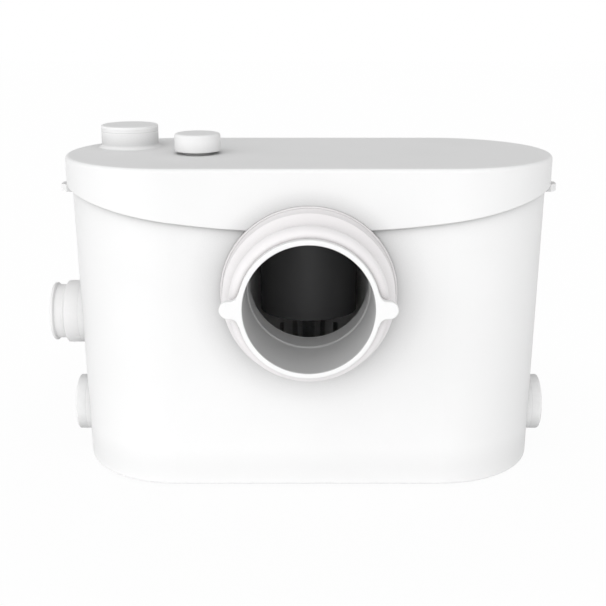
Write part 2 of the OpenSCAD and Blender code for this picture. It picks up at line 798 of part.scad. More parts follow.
// One rubber flap that closes a side inlet from inside the tank
module inlet_flap(side, z, r) {
    seat = seat_x(z, r);
    tab_lap = 6;
    color(BLACK) at_side(side, z) difference() {
        union() {
            rod_x(seat - seat_gap - flap_t, seat - seat_gap, flap_r);
            translate([seat - seat_gap - flap_t, -knuckle_w / 2, flap_r - tab_lap])
                cube([flap_t, knuckle_w, hinge_rise - flap_r + tab_lap]);
            translate([seat - hinge_in, 0, hinge_rise])
                rod_y(-knuckle_w / 2, knuckle_w / 2, knuckle_r);
        }
        translate([seat - hinge_in, 0, hinge_rise])
            rod_y(-knuckle_w, knuckle_w, flap_pin_r + run_gap);
    }
}

module flap_pin(side, z, r) {
    half = hinge_ear_y + hinge_ear_w / 2;
    color(STEEL) at_side(side, z) translate([seat_x(z, r) - hinge_in, 0, hinge_rise])
        rod_y(-half, half, flap_pin_r);
}

module upper_inlet_flap() {
    inlet_flap(LEFT, high_z, sleeve_r);
}

module upper_flap_pin() {
    flap_pin(LEFT, high_z, sleeve_r);
}

module left_inlet_flap() {
    inlet_flap(LEFT, low_z, cap_r);
}

module left_flap_pin() {
    flap_pin(LEFT, low_z, cap_r);
}

module right_inlet_flap() {
    inlet_flap(RIGHT, low_z, cap_r);
}

module right_flap_pin() {
    flap_pin(RIGHT, low_z, cap_r);
}

// One push-on cap that blanks a low inlet
module inlet_cap(side) {
    start = boss_x(low_z, cap_r) + seat_gap;
    in_r = socket_r + seat_gap;
    color(WHITE) at_side(side, low_z) rotate([0, 90, 0]) rotate_extrude() polygon(concat(
        [[in_r, start], [cap_r, start]],
        arc_points([cap_r - cap_edge, cap_end_x - cap_edge], cap_edge, 0, 90),
        [[0, cap_end_x], [0, cap_end_x - cap_end], [in_r, cap_end_x - cap_end]]));
}

module left_inlet_cap() {
    inlet_cap(LEFT);
}

module right_inlet_cap() {
    inlet_cap(RIGHT);
}

// Plan of the hood and basket: square to the inlet, round about the shaft
module hood_plan(w, front) {
    polygon(concat([[w, front]], arc_points([0, motor_y], w, 0, 180, 24), [[-w, front]]));
}

module hood_shell(z, h) {
    front = -neck_end + seat_gap;
    translate([0, 0, z]) difference() {
        linear_extrude(h) hood_plan(hood_w, front);
        translate([0, 0, -eps]) linear_extrude(h + 2 * eps)
            hood_plan(hood_w - hood_wall, front + hood_wall);
    }
}

// Sides and round back of the hood, open to its front plate
module inlet_hood() {
    front = -neck_end + hood_wall + 2 * seat_gap;
    h = motor_top_z - hood_z;
    color(DARK) translate([0, 0, hood_z]) difference() {
        linear_extrude(h) hood_plan(hood_w, front);
        translate([0, 0, -eps]) linear_extrude(h + 2 * eps) hood_plan(hood_w - hood_wall, front - eps);
    }
}

// Front plate of the hood, with a window over the inlet's neck
module hood_front() {
    color(DARK) difference() {
        translate([-hood_w, -neck_end + seat_gap, hood_z])
            cube([2 * hood_w, hood_wall, motor_top_z - hood_z]);
        about_wc() translate([0, 0, neck_end - 2 * hood_wall])
            cylinder(h = 4 * hood_wall, r = neck_bore_r + seat_gap);
    }
}

module macerator_basket() {
    front = -neck_end + seat_gap;
    slot_z = basket_z + 3 * hood_wall;
    slot_h = basket_top_z - slot_z - 4 * hood_wall;
    color(DARK) difference() {
        union() {
            hood_shell(basket_z, basket_top_z - basket_z);
            translate([0, 0, basket_z]) linear_extrude(hood_wall)
                hood_plan(hood_w - hood_wall / 2, front + hood_wall / 2);
        }
        at_motor(basket_z - eps) cylinder(h = hood_wall + 2 * eps, r = eye_r);
        for (i = [0:4])
            translate([-2 * hood_w, front + 2 * hood_wall + 2.5 * slot_w * i, slot_z])
                cube([4 * hood_w, slot_w, slot_h]);
        for (a = [30:15:150])
            at_motor(slot_z) rotate([0, 0, a]) translate([hood_w / 2, -slot_w / 2, 0])
                cube([hood_w, slot_w, slot_h]);
    }
}

module macerator_blade() {
    arm_w = 14;
    tooth_h = 9;
    color(STEEL) at_motor(blade_z) difference() {
        union() {
            cylinder(h = blade_hub_h, r = blade_hub_r);
            intersection() {
                union() {
                    translate([-blade_r, -arm_w / 2, 0]) cube([2 * blade_r, arm_w, blade_t]);
                    for (a = [0, 180], x = [0.55, 0.93])
                        rotate([0, 0, a]) translate([x * blade_r - blade_t, -arm_w / 2, 0])
                            cube([blade_t, arm_w, tooth_h]);
                }
                cylinder(h = 2 * blade_hub_h, r = blade_r);
            }
        }
        translate([0, 0, -eps]) cylinder(h = blade_hub_h + 2 * eps, r = shaft_r + run_gap);
    }
}

module hex_nut(h, r) {
    difference() {
        cylinder(h = h, r = r, $fn = 6);
        translate([0, 0, -eps]) cylinder(h = h + 2 * eps, r = shaft_r + run_gap);
    }
}

module blade_nut() {
    color(STEEL) at_motor(blade_z - nut_h - seat_gap) hex_nut(nut_h, nut_r);
}

module pump_volute() {
    color(DARK) difference() {
        union() {
            at_motor(volute_z) cylinder(h = volute_h, r = volute_r);
            at_volute_screws(volute_z) cylinder(h = volute_h, r = volute_boss_r);
            along_pipe() rod_x(0, volute_stub, pipe_r);
        }
        at_motor(volute_z + volute_floor) cylinder(h = volute_h, r = volute_in_r);
        along_pipe() rod_x(eps, volute_stub + eps, pipe_bore_r);
        at_volute_screws(volute_top_z - volute_screw_depth - eps)
            cylinder(h = volute_screw_depth + 2 * eps, r = volute_screw_r + run_gap);
    }
}

module volute_cover() {
    color(DARK) difference() {
        union() {
            at_motor(cover_z) cylinder(h = cover_t, r = volute_r);
            at_volute_screws(cover_z) cylinder(h = cover_t, r = volute_boss_r);
        }
        at_motor(cover_z - eps) cylinder(h = cover_t + 2 * eps, r = eye_r);
        at_volute_screws(cover_z - eps) cylinder(h = cover_t + 2 * eps, r = volute_screw_r + run_gap);
        at_volute_screws(cover_z + cover_t - screw_head_h)
            cylinder(h = screw_head_h + eps, r = volute_head_r + volute_head_gap);
    }
}

module volute_screws() {
    head_z = cover_z + cover_t - screw_head_h;
    tip_z = volute_top_z - volute_screw_depth;
    color(STEEL) at_volute_screws(0) {
        translate([0, 0, head_z]) cylinder(h = screw_head_h - volute_head_gap, r = volute_head_r);
        translate([0, 0, tip_z]) cylinder(h = head_z - tip_z + eps, r = volute_screw_r);
    }
}

module pump_impeller() {
    plate_t = 3;
    vane_t = 3;
    hub_r = shaft_r + 4;
    vane_start = shaft_r + 1;
    vane_offset = 2;
    vane_l = impeller_r - vane_start - 2;
    color(DARK) at_motor(impeller_z) difference() {
        union() {
            cylinder(h = plate_t, r = impeller_r);
            cylinder(h = impeller_h, r = hub_r);
            for (a = [0:60:300])
                rotate([0, 0, a]) translate([vane_start, vane_offset, 0])
                    cube([vane_l, vane_t, impeller_h]);
        }
        translate([0, 0, -eps]) cylinder(h = impeller_h + 2 * eps, r = shaft_r + run_gap);
    }
}

module impeller_nut() {
    color(STEEL) at_motor(shaft_end_z) hex_nut(impeller_nut_h, nut_r);
}

module motor_pot() {
    color(DARK) difference() {
        union() {
            at_motor(pot_z) cylinder(h = pot_h, r = pot_r);
            at_motor(pot_top_z - flange_t) cylinder(h = flange_t, r = motor_flange_r);
            at_motor(pot_z - seal_boss_h) cylinder(h = seal_boss_h + eps, r = seal_r + 4);
        }
        difference() {
            at_motor(pot_z + pot_floor) cylinder(h = pot_h, r = pot_in_r);
            at_motor(pot_z) cylinder(h = pot_floor + bearing_h, r = bearing_r + bearing_wall);
        }
        at_motor(pot_z + pot_floor) cylinder(h = pot_h, r = bearing_r + run_gap);
        at_motor(pot_z - eps) cylinder(h = pot_h, r = shaft_r + 1);
        at_motor(pot_z - seal_boss_h - eps) cylinder(h = seal_boss_h + eps, r = seal_r + run_gap);
        at_motor_screws(pot_top_z - 2 * flange_t) cylinder(h = 3 * flange_t, r = motor_screw_r + run_gap);
    }
}

module motor_end_cap() {
    boss_h = pot_top_z + seat_gap - upper_bearing_z;
    color(DARK) difference() {
        union() {
            at_motor(pot_top_z + seat_gap) cylinder(h = end_cap_t, r = motor_flange_r);
            at_motor(upper_bearing_z) cylinder(h = boss_h + eps, r = bearing_r + bearing_wall);
        }
        at_motor(upper_bearing_z - eps) cylinder(h = bearing_h + eps + run_gap, r = bearing_r + run_gap);
        at_motor(upper_bearing_z) cylinder(h = boss_h, r = shaft_r + 1);
        at_motor_screws(pot_top_z) cylinder(h = 2 * end_cap_t, r = motor_screw_r + run_gap);
    }
}

module motor_stator() {
    slots = 12;
    tooth_gap = 3;
    tooth_h = 8;
    color(STEEL) at_motor(stator_z) difference() {
        ring(stator_in_r, pot_in_r - seat_gap, stator_h);
        for (i = [0:slots - 1])
            rotate([0, 0, i * 360 / slots]) translate([stator_in_r - eps, -tooth_gap / 2, -eps])
                cube([tooth_h + eps, tooth_gap, stator_h + 2 * eps]);
    }
}

module stator_windings() {
    in_r = stator_in_r + winding_wall;
    out_r = pot_in_r - winding_wall;
    color(COPPER) {
        at_motor(stator_z - seat_gap - winding_h) ring(in_r, out_r, winding_h);
        at_motor(stator_z + stator_h + seat_gap) ring(in_r, out_r, winding_h);
    }
}

module motor_rotor() {
    color(STEEL) at_motor(stator_z + 1) ring(shaft_core_r + run_gap, rotor_r, stator_h - 2);
}

module motor_shaft() {
    top = upper_bearing_z + bearing_h + 1;
    color(STEEL) at_motor(0) rotate_extrude() polygon([
        [0, shaft_end_z], [shaft_r, shaft_end_z], [shaft_r, stator_z], [shaft_core_r, stator_z],
        [shaft_core_r, stator_z + stator_h], [shaft_r, stator_z + stator_h], [shaft_r, top], [0, top]]);
}

module upper_bearing() {
    color(STEEL) at_motor(upper_bearing_z) ring(shaft_r + run_gap, bearing_r, bearing_h);
}

module lower_bearing() {
    color(STEEL) at_motor(lower_bearing_z) ring(shaft_r + run_gap, bearing_r, bearing_h - 2 * run_gap);
}

module shaft_seal() {
    color(BLACK) at_motor(pot_z - seal_boss_h + (seal_boss_h - seal_h) / 2)
        ring(shaft_r + run_gap, seal_r, seal_h);
}

module motor_screws() {
    color(STEEL) at_motor_screws(0) {
        translate([0, 0, deck_top_z + seat_gap / 3]) cylinder(h = screw_head_h, r = 3.5);
        translate([0, 0, pot_top_z - flange_t])
            cylinder(h = deck_top_z + eps - pot_top_z + flange_t, r = motor_screw_r);
    }
}

module deck_plate() {
    vent_tube_r = vent_hole_r - 1;
    vent_tube_h = lid_under_z - filter_h - 3 - deck_top_z;
    color(DARK) difference() {
        union() {
            oval_sweep() band(0, tank_r_at(deck_z) - tank_wall - deck_clear, deck_z, deck_t);
            at_vent(deck_z) cylinder(h = deck_t + vent_tube_h, r = vent_tube_r);
        }
        at_vent(deck_z - eps) cylinder(h = deck_t + vent_tube_h + 2 * eps, r = vent_tube_r - 2.5);
        at_outlet(deck_z - eps) cylinder(h = deck_t + 2 * eps, r = valve_r + seat_gap);
        at_bell(deck_z - eps) cylinder(h = deck_t + 2 * eps, r = bell_r + seat_gap);
        at_deck_screws(deck_z - eps) cylinder(h = deck_t + 2 * eps, r = deck_screw_r + 0.4);
        at_motor_screws(deck_z - eps) cylinder(h = deck_t + 2 * eps, r = motor_screw_r + run_gap);
    }
}

module deck_seal() {
    in_r = ledge_in_r + 0.8;
    color(BLACK) oval_sweep() band(in_r, in_r + 3, ledge_z + seat_gap / 2, deck_seal_t);
}

module deck_screws() {
    color(STEEL) at_deck_screws(0) {
        translate([0, 0, deck_top_z + seat_gap / 3]) cylinder(h = screw_head_h, r = 3);
        translate([0, 0, ledge_z - ledge_t])
            cylinder(h = deck_top_z + eps - ledge_z + ledge_t, r = deck_screw_r);
    }
}

module discharge_coupling() {
    color(BLACK) along_pipe() difference() {
        rod_x(volute_stub - coupling_lap, volute_stub + coupling_lap, pipe_r + coupling_wall);
        rod_x(volute_stub - coupling_lap - eps, volute_stub + coupling_lap + eps, pipe_r + seat_gap / 3);
    }
}

module pipe_section() {
    difference() {
        circle(r = pipe_r);
        circle(r = pipe_bore_r);
    }
}

module discharge_pipe() {
    color(WHITE) along_pipe() {
        translate([volute_stub + 2 * seat_gap, 0, 0]) rotate([0, 90, 0])
            linear_extrude(pipe_run - bend_r - volute_stub - 2 * seat_gap) pipe_section();
        translate([pipe_run - bend_r, 0, bend_r]) rotate([90, 0, 0]) rotate([0, 0, -90])
            rotate_extrude(angle = 90) translate([bend_r, 0]) pipe_section();
        translate([pipe_run, 0, bend_r])
            linear_extrude(valve_shoulder_z - seat_gap - pipe_z - bend_r) pipe_section();
    }
}

module check_valve_body() {
    bottom = valve_z - valve_drop;
    socket = pipe_r + seat_gap / 3;
    flange_r = valve_r + 5;
    flange_z = valve_z + 3;
    roof_z = chamber_top_z + 3;
    color(WHITE) at_outlet(0) rotate_extrude() polygon([
        [socket, bottom], [valve_r, bottom], [valve_r, valve_z], [flange_r, valve_z],
        [flange_r, flange_z], [valve_r, flange_z], [valve_r, roof_z], [spout_r, roof_z],
        [spout_r, spout_top_z], [spout_bore_r, spout_top_z], [spout_bore_r, chamber_top_z],
        [valve_in_r, chamber_top_z], [valve_in_r, valve_seat_z], [pipe_bore_r, valve_seat_z],
        [pipe_bore_r, valve_shoulder_z], [socket, valve_shoulder_z]]);
}

module check_valve_ball() {
    color(BLACK) at_outlet(ball_z) sphere(r = ball_r);
}

module outlet_seal() {
    color(BLACK) at_outlet(lid_top_z) ring(spout_r + seat_gap / 3, turret_in_r - seat_gap, 4);
}

module pressure_bell() {
    bell_in_r = bell_r - 2.5;
    bottom = floor_z + bell_mouth;
    flange_z = deck_top_z + seat_gap;
    color(WHITE) at_bell(0) rotate_extrude() polygon([
        [bell_in_r, bottom], [bell_r, bottom], [bell_r, flange_z], [switch_r, flange_z],
        [switch_r, flange_z + bell_flange_t], [bell_in_r, flange_z + bell_flange_t]]);
}

module switch_housing() {
    color(DARK) at_bell(switch_z) difference() {
        cylinder(h = switch_h, r = switch_r);
        translate([0, 0, -eps]) cylinder(h = switch_h - switch_wall + eps, r = switch_r - switch_wall);
        cylinder(h = switch_h + eps, r = plunger_r + run_gap);
    }
}

module switch_diaphragm() {
    color(BLACK) at_bell(switch_z + seat_gap)
        cylinder(h = diaphragm_t, r = switch_r - switch_wall - seat_gap);
}

module switch_plunger() {
    foot_top_z = plunger_foot_z + plunger_foot_t;
    tip_r = 1;
    shoulder_z = switch_top_z + 1;
    color(WHITE) at_bell(0) rotate_extrude() polygon([
        [0, plunger_foot_z], [switch_r / 2, plunger_foot_z], [switch_r / 2, foot_top_z],
        [plunger_r, foot_top_z], [plunger_r, shoulder_z], [tip_r, shoulder_z], [tip_r, plunger_top_z],
        [0, plunger_top_z]]);
}

module microswitch() {
    color(BLACK) difference() {
        union() {
            translate([micro_x, bell_y - micro_w / 2, micro_z]) cube([micro_l, micro_w, micro_h]);
            for (y = [bell_y - micro_w / 2, bell_y + micro_w / 2 - cheek_t])
                translate([micro_x - 4, y, micro_z]) cube([4 + eps, cheek_t, micro_h]);
        }
        translate([lever_pin_x, bell_y, lever_z + lever_pin_r])
            rod_y(-micro_w, micro_w, lever_pin_r + run_gap);
    }
}

module microswitch_lever() {
    color(STEEL) translate([lever_pin_x, bell_y, lever_z + lever_pin_r]) {
        rod_y(-micro_w / 2 + 0.2, micro_w / 2 - 0.2, lever_pin_r);
        translate([-lever_l, -2, -lever_pin_r]) cube([lever_l, 4, lever_t]);
    }
}

module capacitor() {
    color(WHITE) translate([electrics_x, capacitor_y, capacitor_z])
        rod_x(-capacitor_l / 2, capacitor_l / 2, capacitor_r);
}

module capacitor_clip() {
    in_r = capacitor_r + seat_gap;
    color(STEEL) translate([electrics_x - clip_w / 2, capacitor_y, capacitor_z]) difference() {
        union() {
            rod_x(0, clip_w, in_r + clip_t);
            translate([0, -in_r - clip_foot, -in_r - clip_t])
                cube([clip_w, 2 * in_r + 2 * clip_foot, clip_t]);
        }
        rod_x(-eps, clip_w + eps, in_r);
        translate([-eps, -in_r * 2, capacitor_r / 2]) cube([clip_w + 2 * eps, 4 * in_r, 2 * in_r]);
    }
}

module terminal_block() {
    ways = 5;
    pitch = terminal_l / ways;
    wire_r = 2;
    wire_z = 5;
    screw_r = 2.4;
    corner = [electrics_x - terminal_l / 2, terminal_y - terminal_w / 2, deck_top_z + seat_gap];
    color(WHITE) translate(corner) difference() {
        cube([terminal_l, terminal_w, terminal_h]);
        for (i = [0:ways - 1]) {
            translate([(i + 0.5) * pitch, 0, wire_z]) rod_y(-eps, terminal_w + eps, wire_r);
            translate([(i + 0.5) * pitch, terminal_w / 2, terminal_h - wire_z])
                cylinder(h = wire_z + eps, r = screw_r);
        }
    }
}

module cable_gland() {
    inner_y = gland_wall_y - tank_wall - gland_tail;
    hex_y = tank_r_at(rim_z) + seat_gap;
    hex_l = 7;
    dome_l = 9;
    color(BLACK) translate([gland_x, 0, gland_z]) difference() {
        union() {
            rod_y(inner_y, hex_y + eps, gland_r);
            translate([0, hex_y, 0]) rotate([-90, 0, 0]) cylinder(h = hex_l, r = gland_hex_r, $fn = 6);
            rod_y(hex_y + hex_l - eps, hex_y + hex_l + dome_l, gland_r + 1);
        }
        rod_y(inner_y - eps, hex_y + hex_l + dome_l + eps, gland_bore_r);
    }
}

module gland_locknut() {
    nut_t = 4.5;
    nut_y = tank_r_at(gland_z - gland_hex_r) - tank_wall - seat_gap - nut_t;
    color(BLACK) translate([gland_x, nut_y, gland_z]) rotate([-90, 0, 0]) difference() {
        cylinder(h = nut_t, r = gland_hex_r, $fn = 6);
        translate([0, 0, -eps]) cylinder(h = nut_t + 2 * eps, r = gland_r + seat_gap / 3);
    }
}

tank();
tank_feet();
lid();
lid_seal();
vent_cap();
vent_filter();
outlet_cap();
wc_inlet_boot();
wc_inlet_spigot();
upper_inlet_sleeve();
upper_inlet_flap();
upper_flap_pin();
left_inlet_flap();
left_flap_pin();
left_inlet_cap();
right_inlet_flap();
right_flap_pin();
right_inlet_cap();
inlet_hood();
hood_front();
macerator_basket();
macerator_blade();
blade_nut();
pump_volute();
volute_cover();
volute_screws();
pump_impeller();
impeller_nut();
motor_pot();
motor_end_cap();
motor_stator();
stator_windings();
motor_rotor();
motor_shaft();
upper_bearing();
lower_bearing();
shaft_seal();
motor_screws();
deck_plate();
deck_seal();
deck_screws();
discharge_coupling();
discharge_pipe();
check_valve_body();
check_valve_ball();
outlet_seal();
pressure_bell();
switch_housing();
switch_diaphragm();
switch_plunger();
microswitch();
microswitch_lever();
capacitor();
capacitor_clip();
terminal_block();
cable_gland();
gland_locknut();
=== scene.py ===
"""Looks of an upright macerator toilet pump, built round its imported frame. Metres.

The frame's nodes keep their places. The shell, the inlets, the caps, the screws and the windings get
finished meshes, and every surface gets a procedural finish.
"""
import json
import math
from contextlib import contextmanager

import bmesh
import bpy
from bpy.props import FloatProperty, FloatVectorProperty, IntProperty, PointerProperty
from mathutils import Matrix, Vector


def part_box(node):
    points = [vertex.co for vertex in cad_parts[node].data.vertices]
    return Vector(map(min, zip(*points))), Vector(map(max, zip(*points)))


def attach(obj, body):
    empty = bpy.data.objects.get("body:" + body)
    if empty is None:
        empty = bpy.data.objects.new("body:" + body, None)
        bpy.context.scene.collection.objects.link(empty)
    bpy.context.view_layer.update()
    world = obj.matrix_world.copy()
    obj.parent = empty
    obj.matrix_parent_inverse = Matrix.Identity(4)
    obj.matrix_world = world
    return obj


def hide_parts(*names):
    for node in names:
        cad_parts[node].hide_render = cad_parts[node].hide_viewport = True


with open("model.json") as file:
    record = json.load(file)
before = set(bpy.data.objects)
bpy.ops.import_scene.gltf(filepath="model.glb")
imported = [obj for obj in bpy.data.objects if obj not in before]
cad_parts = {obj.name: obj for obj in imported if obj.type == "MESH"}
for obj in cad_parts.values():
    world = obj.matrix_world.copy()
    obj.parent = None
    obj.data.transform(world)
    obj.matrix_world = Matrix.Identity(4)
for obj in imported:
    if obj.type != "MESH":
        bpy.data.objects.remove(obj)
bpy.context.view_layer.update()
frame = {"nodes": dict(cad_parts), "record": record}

bl_info = {
    "name": "Macerator pump looks",
    "version": (1, 0, 0),
    "blender": (4, 5, 0),
    "location": "View3D > Sidebar > Pump",
    "description": "Finished shell, inlets, caps and inner pieces of an upright macerator pump",
    "category": "Object",
}

FULL_TURN = 2 * math.pi
RING_STEPS = 160
SHARP_ANGLE = math.radians(32)
LEFT, RIGHT = -1, 1
ON_AXIS = 1e-9
SAME_POINT = 1e-7
SAME_CAD_POINT = 1e-6


# Settings


def length(description, default):
    return FloatProperty(description=description, default=default, unit="LENGTH", precision=5)


def angle(description, degrees):
    return FloatProperty(description=description, default=math.radians(degrees), subtype="ANGLE")


def amount(description, default, **more):
    return FloatProperty(description=description, default=default, **more)


def number(description, default, least):
    return IntProperty(description=description, default=default, min=least)


def tint(description, *levels):
    """A colour from three levels, or a grey from one."""
    return FloatVectorProperty(
        description=description, default=levels * (3 // len(levels)), subtype="COLOR", size=3, min=0, max=1)


class ShellSizes(bpy.types.PropertyGroup):
    """Sizes of the lid and what stands on it"""
    oval_half: length("Half length of the oval's straight middle", 0.1113)
    lid_r: length("Radius of the lid's round ends", 0.0941026)
    lid_top: length("Height of the lid's flat top", 0.2699)
    lid_wall: length("Thickness of the lid", 0.003)
    lid_edge: length("Rounding of the lid's top edge", 0.0032)
    lid_lip: length("Rounding of the skirt's lower lip", 0.0011)
    notch_lip: length("Rounding of the skirt's lip over the boot", 0.0002)
    skirt_depth: length("Depth of the skirt at the middle of the front", 0.05)
    skirt_bow: length("Radius of the skirt's bowed lower edge", 0.817)
    rib_r: length("Inner radius of the rib that sits on the lid seal", 0.0855026)
    rib_z: length("Height of the rib's underside", 0.2601)
    boot_notch: length("Radius of the skirt's notch round the boot", 0.07028)
    gland_x: length("Place of the cable gland along the back", 0.09)
    gland_z: length("Height of the cable gland", 0.247)
    gland_notch: length("Radius of the skirt's notch round the gland", 0.012)
    turret_r: length("Radius of the outlet turret", 0.0247)
    turret_bore: length("Inner radius of the outlet turret", 0.02)
    turret_fillet: length("Fillet where the turret meets the lid", 0.0035)
    vent_r: length("Radius of the vent cap", 0.0193)
    vent_gap: length("Gap between the vent cap's brim and the lid", 0.0024)
    vent_hole: length("Radius of the vent's hole in the lid", 0.012)


class InletSizes(bpy.types.PropertyGroup):
    """Sizes of the closet inlet and the side inlets"""
    wc_z: length("Height of the closet inlet's axis", 0.171)
    wc_bore: length("Bore radius of the closet spigot", 0.05)
    wc_wall: length("Wall of the closet spigot", 0.0039)
    wc_reach: length("Distance from the tank's middle to the spigot's rim", 0.142)
    wc_tail: length("Distance from the tank's middle to the spigot's inner end", 0.0813)
    ear_reach: length("Reach of an ear past the spigot", 0.0136)
    ear_height: length("Height of an ear", 0.0135)
    ear_depth: length("Thickness of an ear", 0.006)
    ear_fillet: length("Fillet where an ear meets the rim", 0.006)
    boot_base_r: length("Radius of the boot's base ring", 0.0702)
    boot_mid_r: length("Radius of the boot's middle rib", 0.0675)
    boot_front_r: length("Radius of the boot's front rib", 0.0616)
    boot_base_t: length("Thickness of the boot's base ring", 0.0057)
    boot_mid_step: length("Distance from the base ring to the middle rib", 0.013)
    boot_front_step: length("Distance from the middle rib to the front rib", 0.0168)
    boot_groove: length("Depth of the grooves between the ribs", 0.0055)
    boot_crest: length("Rounding of the ribs' crests", 0.0008)
    # The painted shade in the tank's neck ends at this depth
    neck_back: length("Depth behind which the neck's lining ends", -0.05)
    side_bore: length("Bore radius of a side inlet", 0.0202)
    cap_r: length("Radius of a blanking cap", 0.02445)
    sleeve_r: length("Radius of the upper sleeve's collar", 0.0274)
    sleeve_groove_r: length("Radius of the upper sleeve's clamp groove", 0.0237)
    sleeve_lip_r: length("Radius of the upper sleeve's lip", 0.0255)
    sleeve_collar: length("Distance from the sleeve's end back to its collar", 0.0126)
    seam_close: length("How far a side piece closes up its gap to the tank", 0.00025)


class Finishes(bpy.types.PropertyGroup):
    """Colours of the finishes"""
    shell_white: tint("Matt plastic of the tank, lid and low caps", 0.86)
    shell_shade: tint("Faint flow marks in the shell", 0.835)
    cap_white: tint("Duller plastic of the caps on the lid", 0.85)
    cap_shade: tint("Faint flow marks in the caps", 0.825)
    # Greys of the painted shade inside the closet spigot's bore and the tank's neck behind it
    bore_shade_grey: tint("Greyer lining of the closet spigot's bore", 0.56)
    neck_shade_grey: tint("Greyer lining of the tank's neck behind the spigot", 0.54)
    boot_white: tint("Soft rubber of the closet inlet's boot", 0.86, 0.84, 0.845)
    boot_bloom: tint("Paler bloom on the soft rubber", 0.88, 0.865, 0.87)
    sleeve_grey: tint("Soft rubber of the upper sleeve", 0.8, 0.795, 0.795)
    sleeve_bloom: tint("Paler bloom on the sleeve", 0.83, 0.825, 0.825)
    # Greys of the painted shade laid into the white pieces' corners and the boot's creases
    corner_shade: tint("Grey of the dust in the white pieces' corners", 0.4)
    boot_dust: tint("Grey of the dust in the boot's creases", 0.3, 0.28, 0.285)
    hood_grey: tint("Plastic of the inlet's hood and the cutter's basket", 0.7)
    hood_shade: tint("Flow marks in the hood and the basket", 0.62)
    dark_plastic: tint("Moulded inner plastic", 0.076, 0.076, 0.078)
    dark_shade: tint("Flow marks in the dark plastic", 0.065, 0.065, 0.067)
    pale_plastic: tint("Pipe, valve, bell and block plastic", 0.56, 0.56, 0.53)
    pale_shade: tint("Flow marks in the pale plastic", 0.49, 0.49, 0.46)
    black_rubber: tint("Seals, flaps and feet", 0.018, 0.018, 0.019)
    black_bloom: tint("Grey bloom on the black rubber", 0.04)
    steel: tint("Shaft, cutter, screws and pins", 0.56, 0.57, 0.59)
    steel_streak: tint("Darker brush lines in the steel", 0.42, 0.43, 0.45)
    brass: tint("Plated screws of the terminal block", 0.66, 0.5, 0.24)
    brass_streak: tint("Darker lines in the brass", 0.54, 0.39, 0.17)
    copper: tint("Varnished winding wire", 0.62, 0.25, 0.09)
    copper_shade: tint("Darker varnish between the turns", 0.4, 0.13, 0.04)
    foam: tint("Open foam of the vent filter", 0.02)


class StageSettings(bpy.types.PropertyGroup):
    """Camera, floor and light"""
    camera_back: length("Distance of the camera in front of the tank", 0.8902)
    camera_up: length("Height of the camera", 0.39655)
    camera_tilt: angle("Camera's turn about X", 73.66)
    camera_lens: amount("Focal length in millimetres", 62.09)
    camera_shift: amount("Sideways shift of the frame", -0.00957)
    floor_colour: tint("Colour of the floor", 0.9)
    floor_white: amount("How much of the floor is plain white to the camera", 0.985, min=0, max=1)
    floor_near: amount("How much is plain white close to the tank", 0.93, min=0, max=1)
    near_end: length("Distance at which the floor by the tank starts to pale", 0.1)
    far_start: length("Distance from which the floor is at its palest", 0.4)
    sky_level: amount("Strength of the even light", 0.46, min=0)
    front_level: amount("Extra light from the front", 1.79, min=0)
    front_turn: angle("Turn of the front light to the left", 14)
    front_dip: angle("Tilt of the front light below level", 12)
    low_power: amount("Power of the low front panel", 0.2, unit="POWER")
    left_power: amount("Power of the left panel", 2.5, unit="POWER")
    right_power: amount("Power of the right panel", 2.1, unit="POWER")


class InnerSizes(bpy.types.PropertyGroup):
    """Sizes of the screws, windings and electrics"""
    head_height: length("Height of a screw's head", 0.0026)
    recess_width: length("Width of a screw's cross recess", 0.0009)
    winding_turns: number("Wire turns shown on a winding", 84, 12)
    wire_r: length("Radius of the winding wire", 0.00062)
    gland_dome_r: length("Radius of the cable gland's dome nut", 0.008)
    gland_ribs: number("Grip ribs on the dome nut", 14, 4)
    edge_ease: length("Rounding of the hard inner pieces' edges", 0.0003)


def shell():
    return bpy.context.scene.pump_shell


def inlets():
    return bpy.context.scene.pump_inlets


def finishes():
    return bpy.context.scene.pump_finishes


def inner():
    return bpy.context.scene.pump_inner


# Shapes


def quarter(centre, r, start, end, steps=8):
    """Points of an arc in degrees, as (first, second) coordinates."""
    turns = [math.radians(start + (end - start) * i / steps) for i in range(steps + 1)]
    return [(centre[0] + r * math.cos(t), centre[1] + r * math.sin(t)) for t in turns]


def rounded(corners, steps=6, closed=True):
    """A polyline of (first, second, rounding) corners with each corner eased by its rounding."""
    points = []
    count = len(corners)
    for i, (a, b, soft) in enumerate(corners):
        here = Vector((a, b))
        if soft <= 0 or (not closed and i in (0, count - 1)):
            points.append((a, b))
            continue
        before = Vector(corners[i - 1][:2]) - here
        after = Vector(corners[(i + 1) % count][:2]) - here
        first = here + before.normalized() * min(soft, before.length * 0.49)
        last = here + after.normalized() * min(soft, after.length * 0.49)
        for k in range(steps + 1):
            t = k / steps
            p = first * (1 - t) ** 2 + here * 2 * t * (1 - t) + last * t ** 2
            points.append((p.x, p.y))
    return points


def scallop(start, groove, end, soft, steps=14):
    """Hollow between two rib crests, as (radius, reach) points: a long fall to the groove, a short rise."""
    points = []
    for i in range(steps + 1):
        t = i / steps
        fall = math.sin(t * math.pi / 2)
        points.append((start[0] + (groove[0] - start[0]) * fall, start[1] + (groove[1] - start[1]) * t))
    crest = quarter((end[0] - soft, end[1]), soft, 150, 30, 8)
    points += [(end[0] - soft + (p[1] - end[1]), end[1] - (p[0] - end[0] + soft)) for p in reversed(crest)]
    return points


def upright(x, y):
    return lambda r, a, h: (x + r * math.cos(a), y + r * math.sin(a), h)


def to_front(z):
    return lambda r, a, h: (r * math.cos(a), -h, z + r * math.sin(a))


def to_side(side, y, z):
    return lambda r, a, h: (side * h, y + r * math.cos(a), z + r * math.sin(a))


def middle_of(node):
    """Upright axis through the middle of a node's box."""
    low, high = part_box(node)
    return upright((low.x + high.x) / 2, (low.y + high.y) / 2)


def new_object(name, mesh):
    obj = bpy.data.objects.new(name, mesh)
    bpy.context.scene.collection.objects.link(obj)
    return obj


